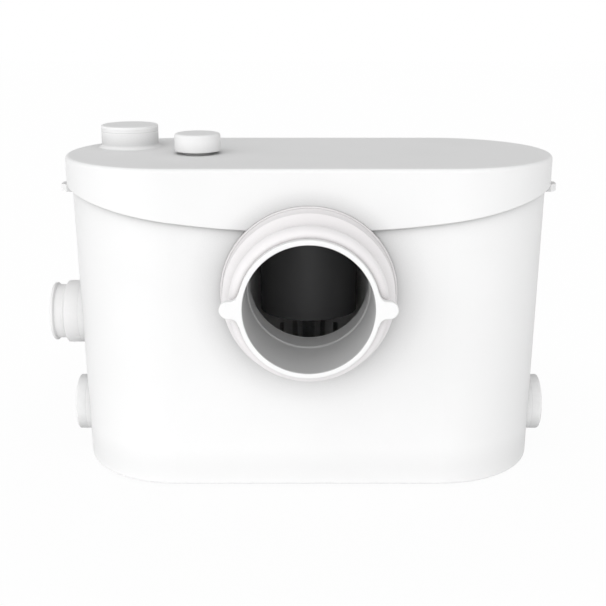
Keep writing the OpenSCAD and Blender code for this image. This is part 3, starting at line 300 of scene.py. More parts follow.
@contextmanager
def edited(mesh):
    """Opens a mesh for editing and writes it back."""
    bm = bmesh.new()
    bm.from_mesh(mesh)
    yield bm
    bm.to_mesh(mesh)
    bm.free()


def link_mesh(name, verts, faces):
    """A mesh as a new object, with its doubles merged and its faces turned outwards."""
    mesh = bpy.data.meshes.new(name)
    mesh.from_pydata([tuple(v) for v in verts], [], faces)
    with edited(mesh) as bm:
        bmesh.ops.remove_doubles(bm, verts=bm.verts, dist=SAME_POINT)
        bmesh.ops.recalc_face_normals(bm, faces=bm.faces)
    return new_object(name, mesh)


def skin_faces(rings, count, poles=(), closed=True):
    """Faces between neighbouring rings of points, the last ring to the first. Poles lie on the axis."""
    faces = []
    for k in range(rings):
        here, there = k * count, (k + 1) % rings * count
        for i in range(count if closed else count - 1):
            j = (i + 1) % count
            corners = [here + i, here + j, there + j, there + i]
            if i in poles and j in poles:
                continue
            if i in poles:
                corners.pop(3)
            elif j in poles:
                corners.pop(2)
            faces.append(corners)
    return faces


def loft(name, loops, poles=()):
    """Joins closed loops of equal length into a ring-shaped skin."""
    verts = [p for loop in loops for p in loop]
    return link_mesh(name, verts, skin_faces(len(loops), len(loops[0]), poles))


def revolve(name, profile, place, steps=RING_STEPS):
    """Turns a closed (radius, height) profile about an axis that place sets."""
    poles = {i for i, (r, h) in enumerate(profile) if r < ON_AXIS}
    turns = [FULL_TURN * k / steps for k in range(steps)]
    return loft(name, [[place(r, turn, h) for r, h in profile] for turn in turns], poles)


def block(name, low, high, soft=0.0):
    """A box with eased edges."""
    low, high = Vector(low), Vector(high)
    mesh = bpy.data.meshes.new(name)
    with edited(mesh) as bm:
        bmesh.ops.create_cube(bm, size=1.0)
        bmesh.ops.scale(bm, verts=bm.verts, vec=high - low)
        bmesh.ops.translate(bm, verts=bm.verts, vec=(low + high) / 2)
        if soft > 0:
            bmesh.ops.bevel(bm, geom=bm.edges[:], offset=soft, segments=3, profile=0.5, affect="EDGES",
                            clamp_overlap=True)
    return new_object(name, mesh)


def bake_modifiers(obj):
    """Turns what the modifiers give into the object's own plain mesh."""
    bpy.context.view_layer.update()
    graph = bpy.context.evaluated_depsgraph_get()
    made = bpy.data.meshes.new_from_object(obj.evaluated_get(graph))
    old = obj.data
    obj.modifiers.clear()
    obj.data = made
    made.name = obj.name
    bpy.data.meshes.remove(old)


def combine(obj, other, operation):
    """Joins another closed shape to this one, or cuts it out, and removes it."""
    joint = obj.modifiers.new(operation.lower(), "BOOLEAN")
    joint.operation = operation
    joint.object = other
    joint.solver = "EXACT"
    bake_modifiers(obj)
    bpy.data.objects.remove(other)


def join(obj, other):
    """Adds another object's mesh to this one and removes it."""
    with edited(obj.data) as bm:
        bm.from_mesh(other.data)
    bpy.data.objects.remove(other)


def smooth(obj, sharp=SHARP_ANGLE):
    """Smooth shading with crisp edges, weighted so that flats stay flat."""
    mesh = obj.data
    mesh.shade_smooth()
    mesh.set_sharp_from_angle(angle=sharp)
    weigh = obj.modifiers.new("weighted", "WEIGHTED_NORMAL")
    weigh.keep_sharp = True
    weigh.weight = 60
    bake_modifiers(obj)


def dress(obj, finish, body, slot, *nodes):
    """Gives a finished piece its material and its body and hides the nodes that it stands for. The slot is
    not used.
    """
    obj.data.materials.clear()
    obj.data.materials.append(bpy.data.materials[finish])
    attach(obj, body)
    if nodes:
        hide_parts(*nodes)
    return obj


def mould(name, corners, place, *looks, ease=8, steps=RING_STEPS):
    """A dressed piece turned from (radius, height, rounding) corners."""
    piece = revolve(name, rounded(corners, ease), place, steps)
    smooth(piece)
    return dress(piece, *looks)


# Node trees


def new_tree(family, name, inputs, outputs):
    """A node group with its sockets and its two ends. Inputs are (name, kind) or (name, kind, default)."""
    tree = bpy.data.node_groups.new(name, family)
    for label, kind, *default in inputs:
        socket = tree.interface.new_socket(name=label, in_out="INPUT", socket_type="NodeSocket" + kind)
        if default:
            socket.default_value = default[0]
    for label, kind in outputs:
        tree.interface.new_socket(name=label, in_out="OUTPUT", socket_type="NodeSocket" + kind)
    return tree, tree.nodes.new("NodeGroupInput").outputs, tree.nodes.new("NodeGroupOutput").inputs


def feed(tree, socket, value):
    """Links another node's socket to this one, or sets a plain value."""
    if isinstance(value, bpy.types.NodeSocket):
        tree.links.new(value, socket)
    else:
        socket.default_value = value


def add(tree, kind, inputs, **settings):
    """A new node with its settings, whose inputs are fed by name or number."""
    node = tree.nodes.new(kind)
    for label, value in settings.items():
        setattr(node, label, value)
    for label, value in inputs.items():
        feed(tree, node.inputs[label], value)
    return node


def noise(tree, vector, scale, detail=2.0, rough=0.5):
    node = add(tree, "ShaderNodeTexNoise", {
        "Vector": vector, "Scale": scale, "Detail": detail, "Roughness": rough})
    return node.outputs["Fac"]


def remap(tree, value, from_low, from_high, to_low=0.0, to_high=1.0):
    node = add(tree, "ShaderNodeMapRange", {
        "Value": value, "From Min": from_low, "From Max": from_high, "To Min": to_low, "To Max": to_high})
    return node.outputs["Result"]


def maths(tree, operation, first, second):
    return add(tree, "ShaderNodeMath", {0: first, 1: second}, operation=operation).outputs["Value"]


def mix_colours(tree, factor, first, second):
    node = add(tree, "ShaderNodeMix", {"Factor": factor, "A": first, "B": second}, data_type="RGBA")
    return node.outputs["Result"]


def split(tree, vector):
    return add(tree, "ShaderNodeSeparateXYZ", {"Vector": vector}).outputs


def places(tree):
    return tree.nodes.new("ShaderNodeTexCoord").outputs


def coat(tree, values):
    """Feeds a material's shader by socket name."""
    surface = tree.nodes["Principled BSDF"]
    for label, value in values.items():
        feed(tree, surface.inputs[label], value)


# Finishes


SKIN_INPUTS = [
    ("Vector", "Vector"), ("Color", "Color", (0.8, 0.8, 0.8, 1)), ("Shade", "Color", (0.7, 0.7, 0.7, 1)),
    ("Roughness", "Float", 0.4), ("Spread", "Float", 0.05), ("Grain", "Float", 900.0)]
SKIN_OUTPUTS = [("Color", "Color"), ("Roughness", "Float"), ("Height", "Float")]


def skin_tree(name):
    return new_tree("ShaderNodeTree", name, SKIN_INPUTS, SKIN_OUTPUTS)


def skin_ends(tree, given, result, mask, rough_mask, height):
    """Closes a skin group: two colours by one mask, roughness by another, and a height."""
    low = maths(tree, "SUBTRACT", given["Roughness"], given["Spread"])
    high = maths(tree, "ADD", given["Roughness"], given["Spread"])
    feed(tree, result["Color"], mix_colours(tree, mask, given["Color"], given["Shade"]))
    feed(tree, result["Roughness"], remap(tree, rough_mask, 0.3, 0.7, low, high))
    feed(tree, result["Height"], height)
    return tree


def moulded_group():
    """Moulded plastic: a fine peel, soft flow marks and roughness that drifts."""
    tree, given, result = skin_tree("moulded_skin")
    vector = given["Vector"]
    flow = remap(tree, noise(tree, vector, 7.0, 3.0), 0.35, 0.7)
    drift = noise(tree, vector, 45.0, 4.0)
    return skin_ends(tree, given, result, flow, drift, noise(tree, vector, given["Grain"], 2.0))


def rubber_group():
    """Soft rubber: a dry grain with cloudy bloom."""
    tree, given, result = skin_tree("rubber_skin")
    vector = given["Vector"]
    cloud = remap(tree, noise(tree, vector, 22.0, 5.0, 0.6), 0.3, 0.75)
    drift = noise(tree, vector, 120.0, 3.0)
    return skin_ends(tree, given, result, cloud, drift, noise(tree, vector, given["Grain"], 5.0, 0.7))


def brushed_group():
    """Metal with fine brush lines round its upright axis."""
    tree, given, result = skin_tree("brushed_skin")
    stretch = add(tree, "ShaderNodeMapping", {"Vector": given["Vector"], "Scale": (0.05, 0.05, 1.0)})
    lines = noise(tree, stretch.outputs["Vector"], given["Grain"], 4.0, 0.65)
    return skin_ends(tree, given, result, remap(tree, lines, 0.35, 0.65), lines, lines)


def painted_shade_group():
    """Painted shade that greys corners and creases from an ambient occlusion node, less on faces that point
    up and fading out near the ground.
    """
    tree, given, result = new_tree("ShaderNodeTree", "corner_dust", [
        ("Vector", "Vector"), ("Normal", "Vector"), ("Color", "Color", (0.8, 0.8, 0.8, 1)),
        ("Dust", "Color", (0.4, 0.4, 0.4, 1)), ("Reach", "Float", 0.02), ("Depth", "Float", 0.8),
        ("Clean height", "Float", 0.045)], [("Color", "Color")])
    # Painted shade: the ambient occlusion node greys the colour wherever other surfaces come close, in
    # corners and creases
    space = add(tree, "ShaderNodeAmbientOcclusion", {"Distance": given["Reach"]}, samples=8)
    closed = remap(tree, space.outputs["AO"], 0.98, 0.3)
    above = maths(tree, "DIVIDE", split(tree, given["Vector"])["Z"], given["Clean height"])
    off_ground = maths(tree, "MULTIPLY", closed, remap(tree, above, 0.0, 1.0))
    less_on_tops = remap(tree, split(tree, given["Normal"])["Z"], 0.3, 0.95, 1.0, 0.4)
    shade_amount = maths(tree, "MULTIPLY", off_ground, less_on_tops)
    painted_shade = maths(tree, "MULTIPLY", shade_amount, given["Depth"])
    feed(tree, result["Color"], mix_colours(tree, painted_shade, given["Color"], given["Dust"]))
    return tree


def paint_corner_shade(material, group, corner_shade, reach, depth):
    """Puts the painted corner shade between a finished material's colour and its shader."""
    tree = material.node_tree
    base = tree.nodes["Principled BSDF"].inputs["Base Color"]
    place = places(tree)
    painted_shade = add(tree, "ShaderNodeGroup", {
        "Vector": place["Object"], "Normal": place["Normal"], "Color": base.links[0].from_socket,
        "Dust": (*corner_shade, 1), "Reach": reach, "Depth": depth}, node_tree=group)
    feed(tree, base, painted_shade.outputs["Color"])


def new_material(name):
    """A fresh material that takes over the name of the frame's plain one."""
    plain = bpy.data.materials.get(name)
    if plain:
        plain.name = name + "_plain"
    material = bpy.data.materials.new(name)
    material.use_nodes = True
    return material


def skin_material(name, group, colour, shade, skin):
    """A material of one skin group, with the sockets that are the same all over set on the shader."""
    rough, spread, grain, bump, bump_depth, sockets = skin
    material = new_material(name)
    tree = material.node_tree
    made = add(tree, "ShaderNodeGroup", {
        "Vector": places(tree)["Object"], "Color": (*colour, 1), "Shade": (*shade, 1), "Roughness": rough,
        "Spread": spread, "Grain": grain}, node_tree=group).outputs
    relief = add(tree, "ShaderNodeBump", {
        "Strength": bump, "Distance": bump_depth, "Height": made["Height"]})
    coat(tree, {"Base Color": made["Color"], "Roughness": made["Roughness"],
                "Normal": relief.outputs["Normal"], **sockets})
    material.diffuse_color = (*colour, 1)
    return material


def paint_bore_shade(material, r, colour):
    """Painted shade: colours what lies within a radius of the closet inlet's axis, in front of the neck's
    back, in a darker grey.
    """
    tree = material.node_tree
    base = tree.nodes["Principled BSDF"].inputs["Base Color"]
    parts = split(tree, places(tree)["Object"])
    rise = maths(tree, "SUBTRACT", parts["Z"], inlets().wc_z)
    square = maths(tree, "ADD", maths(tree, "POWER", parts["X"], 2.0), maths(tree, "POWER", rise, 2.0))
    ahead = maths(tree, "LESS_THAN", parts["Y"], inlets().neck_back)
    inside = maths(tree, "MULTIPLY", maths(tree, "LESS_THAN", square, r * r), ahead)
    feed(tree, base, mix_colours(tree, inside, base.links[0].from_socket, (*colour, 1)))


def foam_material(colour):
    """Open foam: cells cut into a dark mass, with painted shade in the cells' hollows and paler walls."""
    tree = new_material("carbon_foam").node_tree
    cells = add(tree, "ShaderNodeTexVoronoi", {"Vector": places(tree)["Object"], "Scale": 700.0})
    depth = cells.outputs["Distance"]
    # Painted shade: darker in the middle of each cell, where the bump sinks, and paler towards its walls
    pale = add(tree, "ShaderNodeValToRGB", {"Fac": depth})
    for stop, gain in zip(pale.color_ramp.elements, (0.3, 3)):
        stop.color = (*(level * gain for level in colour), 1)
    relief = add(tree, "ShaderNodeBump", {"Strength": 0.9, "Distance": 0.0008, "Height": depth})
    coat(tree, {"Base Color": pale.outputs["Color"], "Normal": relief.outputs["Normal"], "Roughness": 0.9})


# A skin is its roughness, spread, grain, bump strength, bump depth and fixed shader sockets
SHELL_SKIN = (0.72, 0.05, 750.0, 0.03, 0.0002, {"Specular IOR Level": 0.08})
HOOD_SKIN = (0.6, 0.06, 900.0, 0.05, 0.0002, {"Specular IOR Level": 0.2})
DARK_SKIN = (0.5, 0.08, 1100.0, 0.06, 0.0002, {"Specular IOR Level": 0.35})
PALE_SKIN = (0.45, 0.06, 900.0, 0.04, 0.0002, {})
SOFT_SKIN = (0.58, 0.06, 1300.0, 0.08, 0.0002, {"Specular IOR Level": 0.3})
BLACK_SKIN = (0.62, 0.08, 1500.0, 0.12, 0.0003, {})
STEEL_SKIN = (0.3, 0.08, 2600.0, 0.05, 0.0001, {"Metallic": 1.0})
LAMINATED_SKIN = (0.42, 0.1, 5200.0, 0.25, 0.0002, {"Metallic": 1.0})
BRASS_SKIN = (0.34, 0.06, 2600.0, 0.05, 0.0001, {"Metallic": 1.0})
WIRE_SKIN = (0.32, 0.06, 900.0, 0.05, 0.0001, {"Metallic": 1.0, "Coat Weight": 0.4})
MATERIALS = (
    ("white_plastic", moulded_group, "shell_white", "shell_shade", SHELL_SKIN),
    ("tank_plastic", moulded_group, "shell_white", "shell_shade", SHELL_SKIN),
    ("spigot_plastic", moulded_group, "shell_white", "shell_shade", SHELL_SKIN),
    ("side_cap_plastic", moulded_group, "shell_white", "shell_shade", SHELL_SKIN),
    ("cap_plastic", moulded_group, "cap_white", "cap_shade", SHELL_SKIN),
    ("hood_plastic", moulded_group, "hood_grey", "hood_shade", HOOD_SKIN),
    ("basket_plastic", moulded_group, "hood_grey", "hood_shade", HOOD_SKIN),
    ("dark_plastic", moulded_group, "dark_plastic", "dark_shade", DARK_SKIN),
    ("inner_plastic", moulded_group, "pale_plastic", "pale_shade", PALE_SKIN),
    ("sleeve_rubber", rubber_group, "sleeve_grey", "sleeve_bloom", SOFT_SKIN),
    ("white_rubber", rubber_group, "boot_white", "boot_bloom", SOFT_SKIN),
    ("black_rubber", rubber_group, "black_rubber", "black_bloom", BLACK_SKIN),
    ("copper_wire", rubber_group, "copper", "copper_shade", WIRE_SKIN),
    ("steel", brushed_group, "steel", "steel_streak", STEEL_SKIN),
    ("laminated_steel", brushed_group, "steel", "steel_streak", LAMINATED_SKIN),
    ("brass_plate", brushed_group, "brass", "brass_streak", BRASS_SKIN))
# Material, grey of the painted corner shade, reach of the shade and how thick it lies
PAINTED_CORNER_SHADE = (
    ("white_plastic", "corner_shade", 0.022, 0.95),
    ("tank_plastic", "corner_shade", 0.036, 0.8),
    ("spigot_plastic", "corner_shade", 0.01, 0.5),
    ("cap_plastic", "corner_shade", 0.012, 0.7),
    ("white_rubber", "boot_dust", 0.03, 1.0),
    ("side_cap_plastic", "corner_shade", 0.04, 1.0),
    ("sleeve_rubber", "corner_shade", 0.04, 0.8))
# Nodes whose finish isn't the one named after their slot
NODE_FINISH = {
    "tank": "tank_plastic",
    "inlet_hood": "hood_plastic",
    "hood_front": "hood_plastic",
    "macerator_basket": "basket_plastic",
    "motor_stator": "laminated_steel",
    "motor_rotor": "laminated_steel",
}


class PUMP_OT_finishes(bpy.types.Operator):
    """Make every finish and give each CAD node the finish of its slot"""
    bl_idname = "pump.finishes"
    bl_label = "Finishes"

    def execute(self, context):
        paint = finishes()
        groups = {make: make() for make in (moulded_group, rubber_group, brushed_group)}
        made = {}
        for name, make, colour, shade, skin in MATERIALS:
            colour, shade = getattr(paint, colour), getattr(paint, shade)
            made[name] = skin_material(name, groups[make], colour, shade, skin)
        # Painted shade darkens the spigot's bore and the tank's neck behind it
        bore, outside, within = inlets().wc_bore, 0.0004, 0.0008
        paint_bore_shade(made["spigot_plastic"], bore + outside, paint.bore_shade_grey)
        paint_bore_shade(made["tank_plastic"], bore - within, paint.neck_shade_grey)
        foam_material(paint.foam)
        # Painted shade greys the corners and creases of the materials in the table of painted corner shade
        corners = painted_shade_group()
        for name, corner_shade, reach, depth in PAINTED_CORNER_SHADE:
            paint_corner_shade(made[name], corners, getattr(paint, corner_shade), reach, depth)
        slots = {part["node"]: part["material_slot"] for part in frame["record"]["subparts"]}
        for name, node in frame["nodes"].items():
            material = bpy.data.materials[NODE_FINISH.get(name, slots[name])]
            node.data.materials.clear()
            node.data.materials.append(material)
        return {"FINISHED"}


# Stage


def seen_rays(tree):
    """One where the camera, a reflection or a clear piece looks, and nought for other rays."""
    path = tree.nodes.new("ShaderNodeLightPath").outputs
    straight = maths(tree, "MAXIMUM", path["Is Camera Ray"], path["Is Glossy Ray"])
    return maths(tree, "MAXIMUM", straight, path["Is Transmission Ray"])


def end_in_mix(tree, kind, factor, first, second):
    """Ends a tree in a mix of two shaders."""
    blend = add(tree, "ShaderNodeMixShader", {0: factor, 1: first, 2: second})
    add(tree, kind, {"Surface": blend.outputs["Shader"]})


class PUMP_OT_stage(bpy.types.Operator):
    """Set the camera, the pale floor, the lamps and the even light"""
    bl_idname = "pump.stage"
    bl_label = "Stage"

    def execute(self, context):
        scene = context.scene
        stage = scene.pump_stage
        scene.view_settings.view_transform = "Standard"
        lens = bpy.data.cameras.new("camera")
        lens.lens = stage.camera_lens
        lens.sensor_width = 36.0
        lens.shift_x = stage.camera_shift
        camera = new_object("camera", lens)
        camera.location = (0, -stage.camera_back, stage.camera_up)
        camera.rotation_euler = (stage.camera_tilt, 0, 0)
        scene.camera = camera
        self.lay_floor(stage)
        wide, aim = (1.6, 1.0), (0, 0, 0.15)
        self.hang_panel("low_panel", stage.low_power, (1.0, 0.35), (0, -0.5, 0.03), (0, -0.1, 0.2))
        self.hang_panel("left_panel", stage.left_power, wide, (-1.7, -0.7, 0.45), aim)
        self.hang_panel("right_panel", stage.right_power, wide, (1.8, -0.3, 0.45), aim)
        self.light_world(scene, stage)
        return {"FINISHED"}

    def lay_floor(self, stage):
        half = 6.0
        drop = -0.0002
        corners = [(-half, -half, drop), (half, -half, drop), (half, half, drop), (-half, half, drop)]
        floor = link_mesh("floor", corners, [[0, 1, 2, 3]])
        material = bpy.data.materials.new("floor_white")
        material.use_nodes = True
        tree = material.node_tree
        tree.nodes.clear()
        matte = add(tree, "ShaderNodeBsdfDiffuse", {"Color": (*stage.floor_colour, 1)})
        glow = tree.nodes.new("ShaderNodeEmission")
        off = add(tree, "ShaderNodeVectorMath", {0: places(tree)["Object"]}, operation="LENGTH")
        plain = remap(tree, off.outputs["Value"], stage.near_end, stage.far_start,
                      stage.floor_near, stage.floor_white)
        seen = maths(tree, "MULTIPLY", seen_rays(tree), plain)
        end_in_mix(tree, "ShaderNodeOutputMaterial", seen, matte.outputs["BSDF"], glow.outputs["Emission"])
        floor.data.materials.append(material)

    def hang_panel(self, name, power, size, place, aim):
        """A wide soft lamp that the camera itself doesn't show."""
        lamp = bpy.data.lights.new(name, "AREA")
        lamp.shape = "RECTANGLE"
        lamp.energy = power
        lamp.size, lamp.size_y = size
        panel = new_object(name, lamp)
        panel.location = place
        panel.rotation_euler = (Vector(aim) - Vector(place)).to_track_quat("-Z", "Y").to_euler()
        panel.visible_camera = False

    def light_world(self, scene, stage):
        """Even light that grows towards the front, and plain white where it is seen."""
        world = scene.world or bpy.data.worlds.new("world")
        scene.world = world
        world.use_nodes = True
        tree = world.node_tree
        tree.nodes.clear()
        level = math.cos(stage.front_dip)
        front = (-math.sin(stage.front_turn) * level, -math.cos(stage.front_turn) * level,
                 -math.sin(stage.front_dip))
        lean = add(tree, "ShaderNodeVectorMath", {0: places(tree)["Generated"], 1: front},
                   operation="DOT_PRODUCT")
        ahead = maths(tree, "MAXIMUM", lean.outputs["Value"], 0.0)
        glow = maths(tree, "MULTIPLY", ahead, stage.front_level)
        sky = add(tree, "ShaderNodeBackground", {
            "Color": (1, 1, 1, 1), "Strength": maths(tree, "ADD", glow, stage.sky_level)})
        white = add(tree, "ShaderNodeBackground", {"Color": (1, 1, 1, 1)})
        end_in_mix(tree, "ShaderNodeOutputWorld", seen_rays(tree), sky.outputs["Background"],
                   white.outputs["Background"])


# Lid


def lid_plan():
    """Stations round the lid: a middle point and the outward direction there."""
    half = shell().oval_half
    step, beside, end_steps = 0.0015, 1e-4, 72
    corner = boot_corner(shell().boot_notch)
    front = {round(-half + step * i, 6) for i in range(int(2 * half / step) + 1)} | {half}
    for side in (-corner, corner):
        front |= {side, side - beside, side + beside}
    back = {round(-half + 2 * step * i, 6) for i in range(int(half / step) + 1)} | {half}
    gland, edge = shell().gland_x, shell().gland_notch
    for side in (-edge, edge):
        back |= {gland + side * 0.9999, gland + side * 1.0001}
    back |= {gland + edge * math.cos(math.radians(a)) for a in range(10, 180, 10)}

    def round_end(x, start):
        turns = [start + math.pi * k / end_steps for k in range(1, end_steps)]
        return [(Vector((x, 0)), Vector((math.cos(a), math.sin(a)))) for a in turns]

    stations = [(Vector((x, 0)), Vector((0, -1))) for x in sorted(front)]
    stations += round_end(half, -math.pi / 2)
    stations += [(Vector((x, 0)), Vector((0, 1))) for x in sorted(back, reverse=True)]
    return stations + round_end(-half, math.pi / 2)


def bow_height(x):
    bow = shell().skirt_bow
    return shell().lid_top - shell().skirt_depth + bow - math.sqrt(bow ** 2 - x ** 2)


def boot_corner(notch):
    """Distance from the middle at which the boot's notch meets the bowed edge."""
    low, high = 0.0, notch
    for _ in range(60):
        x = (low + high) / 2
        above = inlets().wc_z + math.sqrt(notch ** 2 - x ** 2) > bow_height(x)
        low, high = (x, high) if above else (low, x)
    return low


def skirt_height(point, facing):
    """Height of the skirt's lower edge at a point of the plan."""
    height = bow_height(point.x)
    notch = shell().boot_notch
    if facing.y < -0.99 and abs(point.x) < notch:
        height = max(height, inlets().wc_z + math.sqrt(notch ** 2 - point.x ** 2))
    off = point.x - shell().gland_x
    reach = shell().gland_notch
    if facing.y > 0.99 and abs(off) < reach:
        height = max(height, shell().gland_z + math.sqrt(reach ** 2 - off ** 2))
    return height


def lid_column(station):
    """Points of the lid's wall at one station, from the top's edge round the lip to the seat rib."""
    s = shell()
    centre, facing = station

    def at(r, z):
        p = centre + facing * r
        return Vector((p.x, p.y, z))

    def foot(r):
        return skirt_height(centre + facing * r, facing)

    over_boot = facing.y < -0.99 and abs(centre.x) < boot_corner(s.boot_notch) - 5e-5
    lip = s.notch_lip if over_boot else s.lid_lip
    inside = s.lid_r - s.lid_wall
    wall_top = s.lid_top - s.lid_edge
    low, low_in = foot(s.lid_r) + lip, foot(inside) + lip
    outer_rows, inner_rows = 10, 5
    column = [at(r, z) for r, z in quarter((s.lid_r - s.lid_edge, wall_top), s.lid_edge, 90, 0)]
    column += [at(s.lid_r, wall_top + (low - wall_top) * i / outer_rows) for i in range(1, outer_rows)]
    column += [at(r, z) for r, z in quarter((s.lid_r - lip, low), lip, 0, -90, 5)]
    column += [at(r, z) for r, z in quarter((inside + lip, low_in), lip, -90, -180, 5)]
    column += [at(inside, low_in + (s.rib_z - low_in) * i / inner_rows) for i in range(1, inner_rows + 1)]
    return column + [at(s.rib_r, s.rib_z), at(s.rib_r, s.lid_top - s.lid_wall)]


def lid_body():
    """The lid without its turret and vent: one closed skin with flat faces over and under."""
    columns = [lid_column(station) for station in lid_plan()]
    count, rows = len(columns), len(columns[0])
    faces = skin_faces(count, rows, closed=False)
    faces.append([k * rows for k in range(count)])
    faces.append([k * rows + rows - 1 for k in range(count)])
    return link_mesh("lid_shell", [p for column in columns for p in column], faces)


class PUMP_OT_lid(bpy.types.Operator):
    """Build the lid with its bowed skirt, outlet turret and vent seat"""
    bl_idname = "pump.lid"
    bl_label = "Lid"

    def execute(self, context):
        s = shell()
        top, under = s.lid_top, s.lid_top - s.lid_wall
        lid = lid_body()
        turret_at, vent_at = middle_of("outlet_cap"), middle_of("vent_cap")
        combine(lid, revolve("turret", self.turret_profile(top), turret_at), "UNION")
        cup_r, filter_r, seat_r, cup_depth, cup_floor = 0.0168, 0.0148, 0.0136, 0.0141, 0.0015
        cup_z, root, seat, past = under - cup_depth, under + 0.001, top + 0.0004, 0.002
        cup = rounded([
            (0, cup_z, 0), (cup_r, cup_z, 0.0006), (cup_r, root, 0), (seat_r, root, 0),
            (seat_r, seat, 0.0003), (0, seat, 0)])
        combine(lid, revolve("vent_cup", cup, vent_at), "UNION")
        over_turret, over_vent = top + 0.03, top + 0.004
        bore_r = s.turret_bore
        bore = [(0, under - past), (bore_r, under - past), (bore_r, over_turret), (0, over_turret)]
        combine(lid, revolve("turret_bore", bore, turret_at), "DIFFERENCE")
        hole = [
            (0, cup_z - past), (s.vent_hole, cup_z - past), (s.vent_hole, cup_z + cup_floor),
            (filter_r, cup_z + cup_floor), (filter_r, under), (s.vent_hole, under),
            (s.vent_hole, over_vent), (0, over_vent)]
        combine(lid, revolve("vent_bore", hole, vent_at), "DIFFERENCE")
        smooth(lid)
        dress(lid, "white_plastic", "lid_body", "white_plastic", "lid")
        return {"FINISHED"}

    def turret_profile(self, top):
        """Half section of the turret, with a flared foot and a fine ring under its cap."""
        s = shell()
        r, flare = s.turret_r, s.turret_fillet
        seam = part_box("outlet_cap")[1].z - 0.00275
        ring_z = seam - 0.0022
        ring_w, ring_deep = 0.0007, 0.0003
        sunk, root = 0.00006, 0.002
        foot = [(r + flare - x, top - sunk + flare - z) for x, z in quarter((0, 0), flare, 90, 0, 10)]
        side = rounded([
            (r, ring_z - ring_w, 0), (r - ring_deep, ring_z - ring_w / 2, 0.0002), (r, ring_z, 0),
            (r, seam, 0.0001), (0, seam, 0)], closed=False)
        return [(0, top - root), (r + flare, top - root)] + foot + side


# Closet inlet


class PUMP_OT_closet_inlet(bpy.types.Operator):
    """Build the ribbed boot and the eared spigot of the closet inlet"""
    bl_idname = "pump.closet_inlet"
    bl_label = "Closet inlet"

    def execute(self, context):
        self.boot()
        self.spigot()
        return {"FINISHED"}

    def boot(self):
        s = inlets()
        low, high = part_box("wc_inlet_boot")
        back, end = -high.y, -low.y
        base_y = back + s.boot_base_t
        mid_y = base_y + s.boot_mid_step
        front_y = mid_y + s.boot_front_step
        edge, heel = 0.0018, 0.0004
        hug_r = s.wc_bore + s.wc_wall + 0.0001
        seat_r, step_y = 0.0601, 0.101
        crest = s.boot_crest
        near = 2.2 * crest
        base_crest = (s.boot_base_r - edge, base_y)
        mid_crest = (s.boot_mid_r, mid_y)
        front_crest = (s.boot_front_r, front_y)
        base_groove = (s.boot_mid_r - s.boot_groove, mid_y - near)
        front_groove = (s.boot_front_r - s.boot_groove, front_y - near)
        profile = [(seat_r, back), (s.boot_base_r - heel, back), (s.boot_base_r, back + heel)]
        profile += quarter((s.boot_base_r - edge, base_y - edge), edge, 0, 80, 8)
        profile += scallop(base_crest, base_groove, mid_crest, crest)
        profile += scallop(profile[-1], front_groove, front_crest, crest)
        profile += [(hug_r + (s.boot_front_r - hug_r) * x, front_y + (end - front_y) * y)
                    for x, y in quarter((0, 0), 1.0, 0, 90, 18)]
        profile += [(hug_r, step_y), (seat_r, step_y)]
        boot = revolve("inlet_boot", profile, to_front(s.wc_z), 224)
        smooth(boot)
        dress(boot, "white_rubber", "tank_body", "white_rubber", "wc_inlet_boot")

    def ear_outline(self):
        """Outline of the rim with its two ears, seen from the front."""
        s = inlets()
        r = s.wc_bore + s.wc_wall + 0.0002
        tip = s.ear_height / 2
        tip_x = s.wc_bore + s.wc_wall + s.ear_reach - tip
        blend = s.ear_fillet
        blend_x = s.wc_bore + s.wc_wall + blend - 0.0006
        ear = quarter((tip_x, 0), tip, -90, 90, 24)
        upper = quarter((blend_x, tip + blend), blend, 270, 192, 12)
        lower = [(x, -y) for x, y in reversed(upper)]
        right = lower + ear + upper
        start = math.degrees(math.atan2(upper[-1][1], upper[-1][0]))
        over = quarter((0, 0), r, start + 2, 178 - start, 72)
        return right + over + [(-x, -y) for x, y in right + over]

    def spigot(self):
        s = inlets()
        outline = [Vector(p) for p in self.ear_outline()]
        count = len(outline)
        lean = []
        for i in range(count):
            run = outline[(i + 1) % count] - outline[i - 1]
            lean.append(Vector((run.y, -run.x)).normalized())

        def ring(r, y):
            return [(p.normalized().x * r, -y, s.wc_z + p.normalized().y * r) for p in outline]

        def rim(inset, y):
            made = [p - n * inset for p, n in zip(outline, lean)]
            return [(p.x, -y, s.wc_z + p.y) for p in made]

        front, back = s.wc_reach, s.wc_reach - s.ear_depth
        soft, small = 0.0009, 0.0002
        out_r = s.wc_bore + s.wc_wall
        step, slope = 0.0011, 0.0026
        loops = [ring(s.wc_bore - step, s.wc_tail), ring(s.wc_bore - step * 0.5, s.wc_tail + slope * 0.35),
                 ring(s.wc_bore, s.wc_tail + slope), ring(s.wc_bore, (s.wc_tail + front) / 2)]
        loops += [ring(s.wc_bore + a, y) for a, y in quarter((soft, front - soft), soft, 180, 90, 5)]
        loops += [rim(inset, y) for inset, y in quarter((soft, front - soft), soft, 90, 180, 5)]
        loops += [rim(inset, y) for inset, y in quarter((small, back + small), small, 180, 270, 3)]
        loops += [ring(out_r, back), ring(out_r, s.wc_tail + soft), ring(out_r - soft, s.wc_tail)]
        spigot = loft("inlet_spigot", loops)
        smooth(spigot, math.radians(40))
        dress(spigot, "spigot_plastic", "tank_body", "white_plastic", "wc_inlet_spigot")


# Side inlets


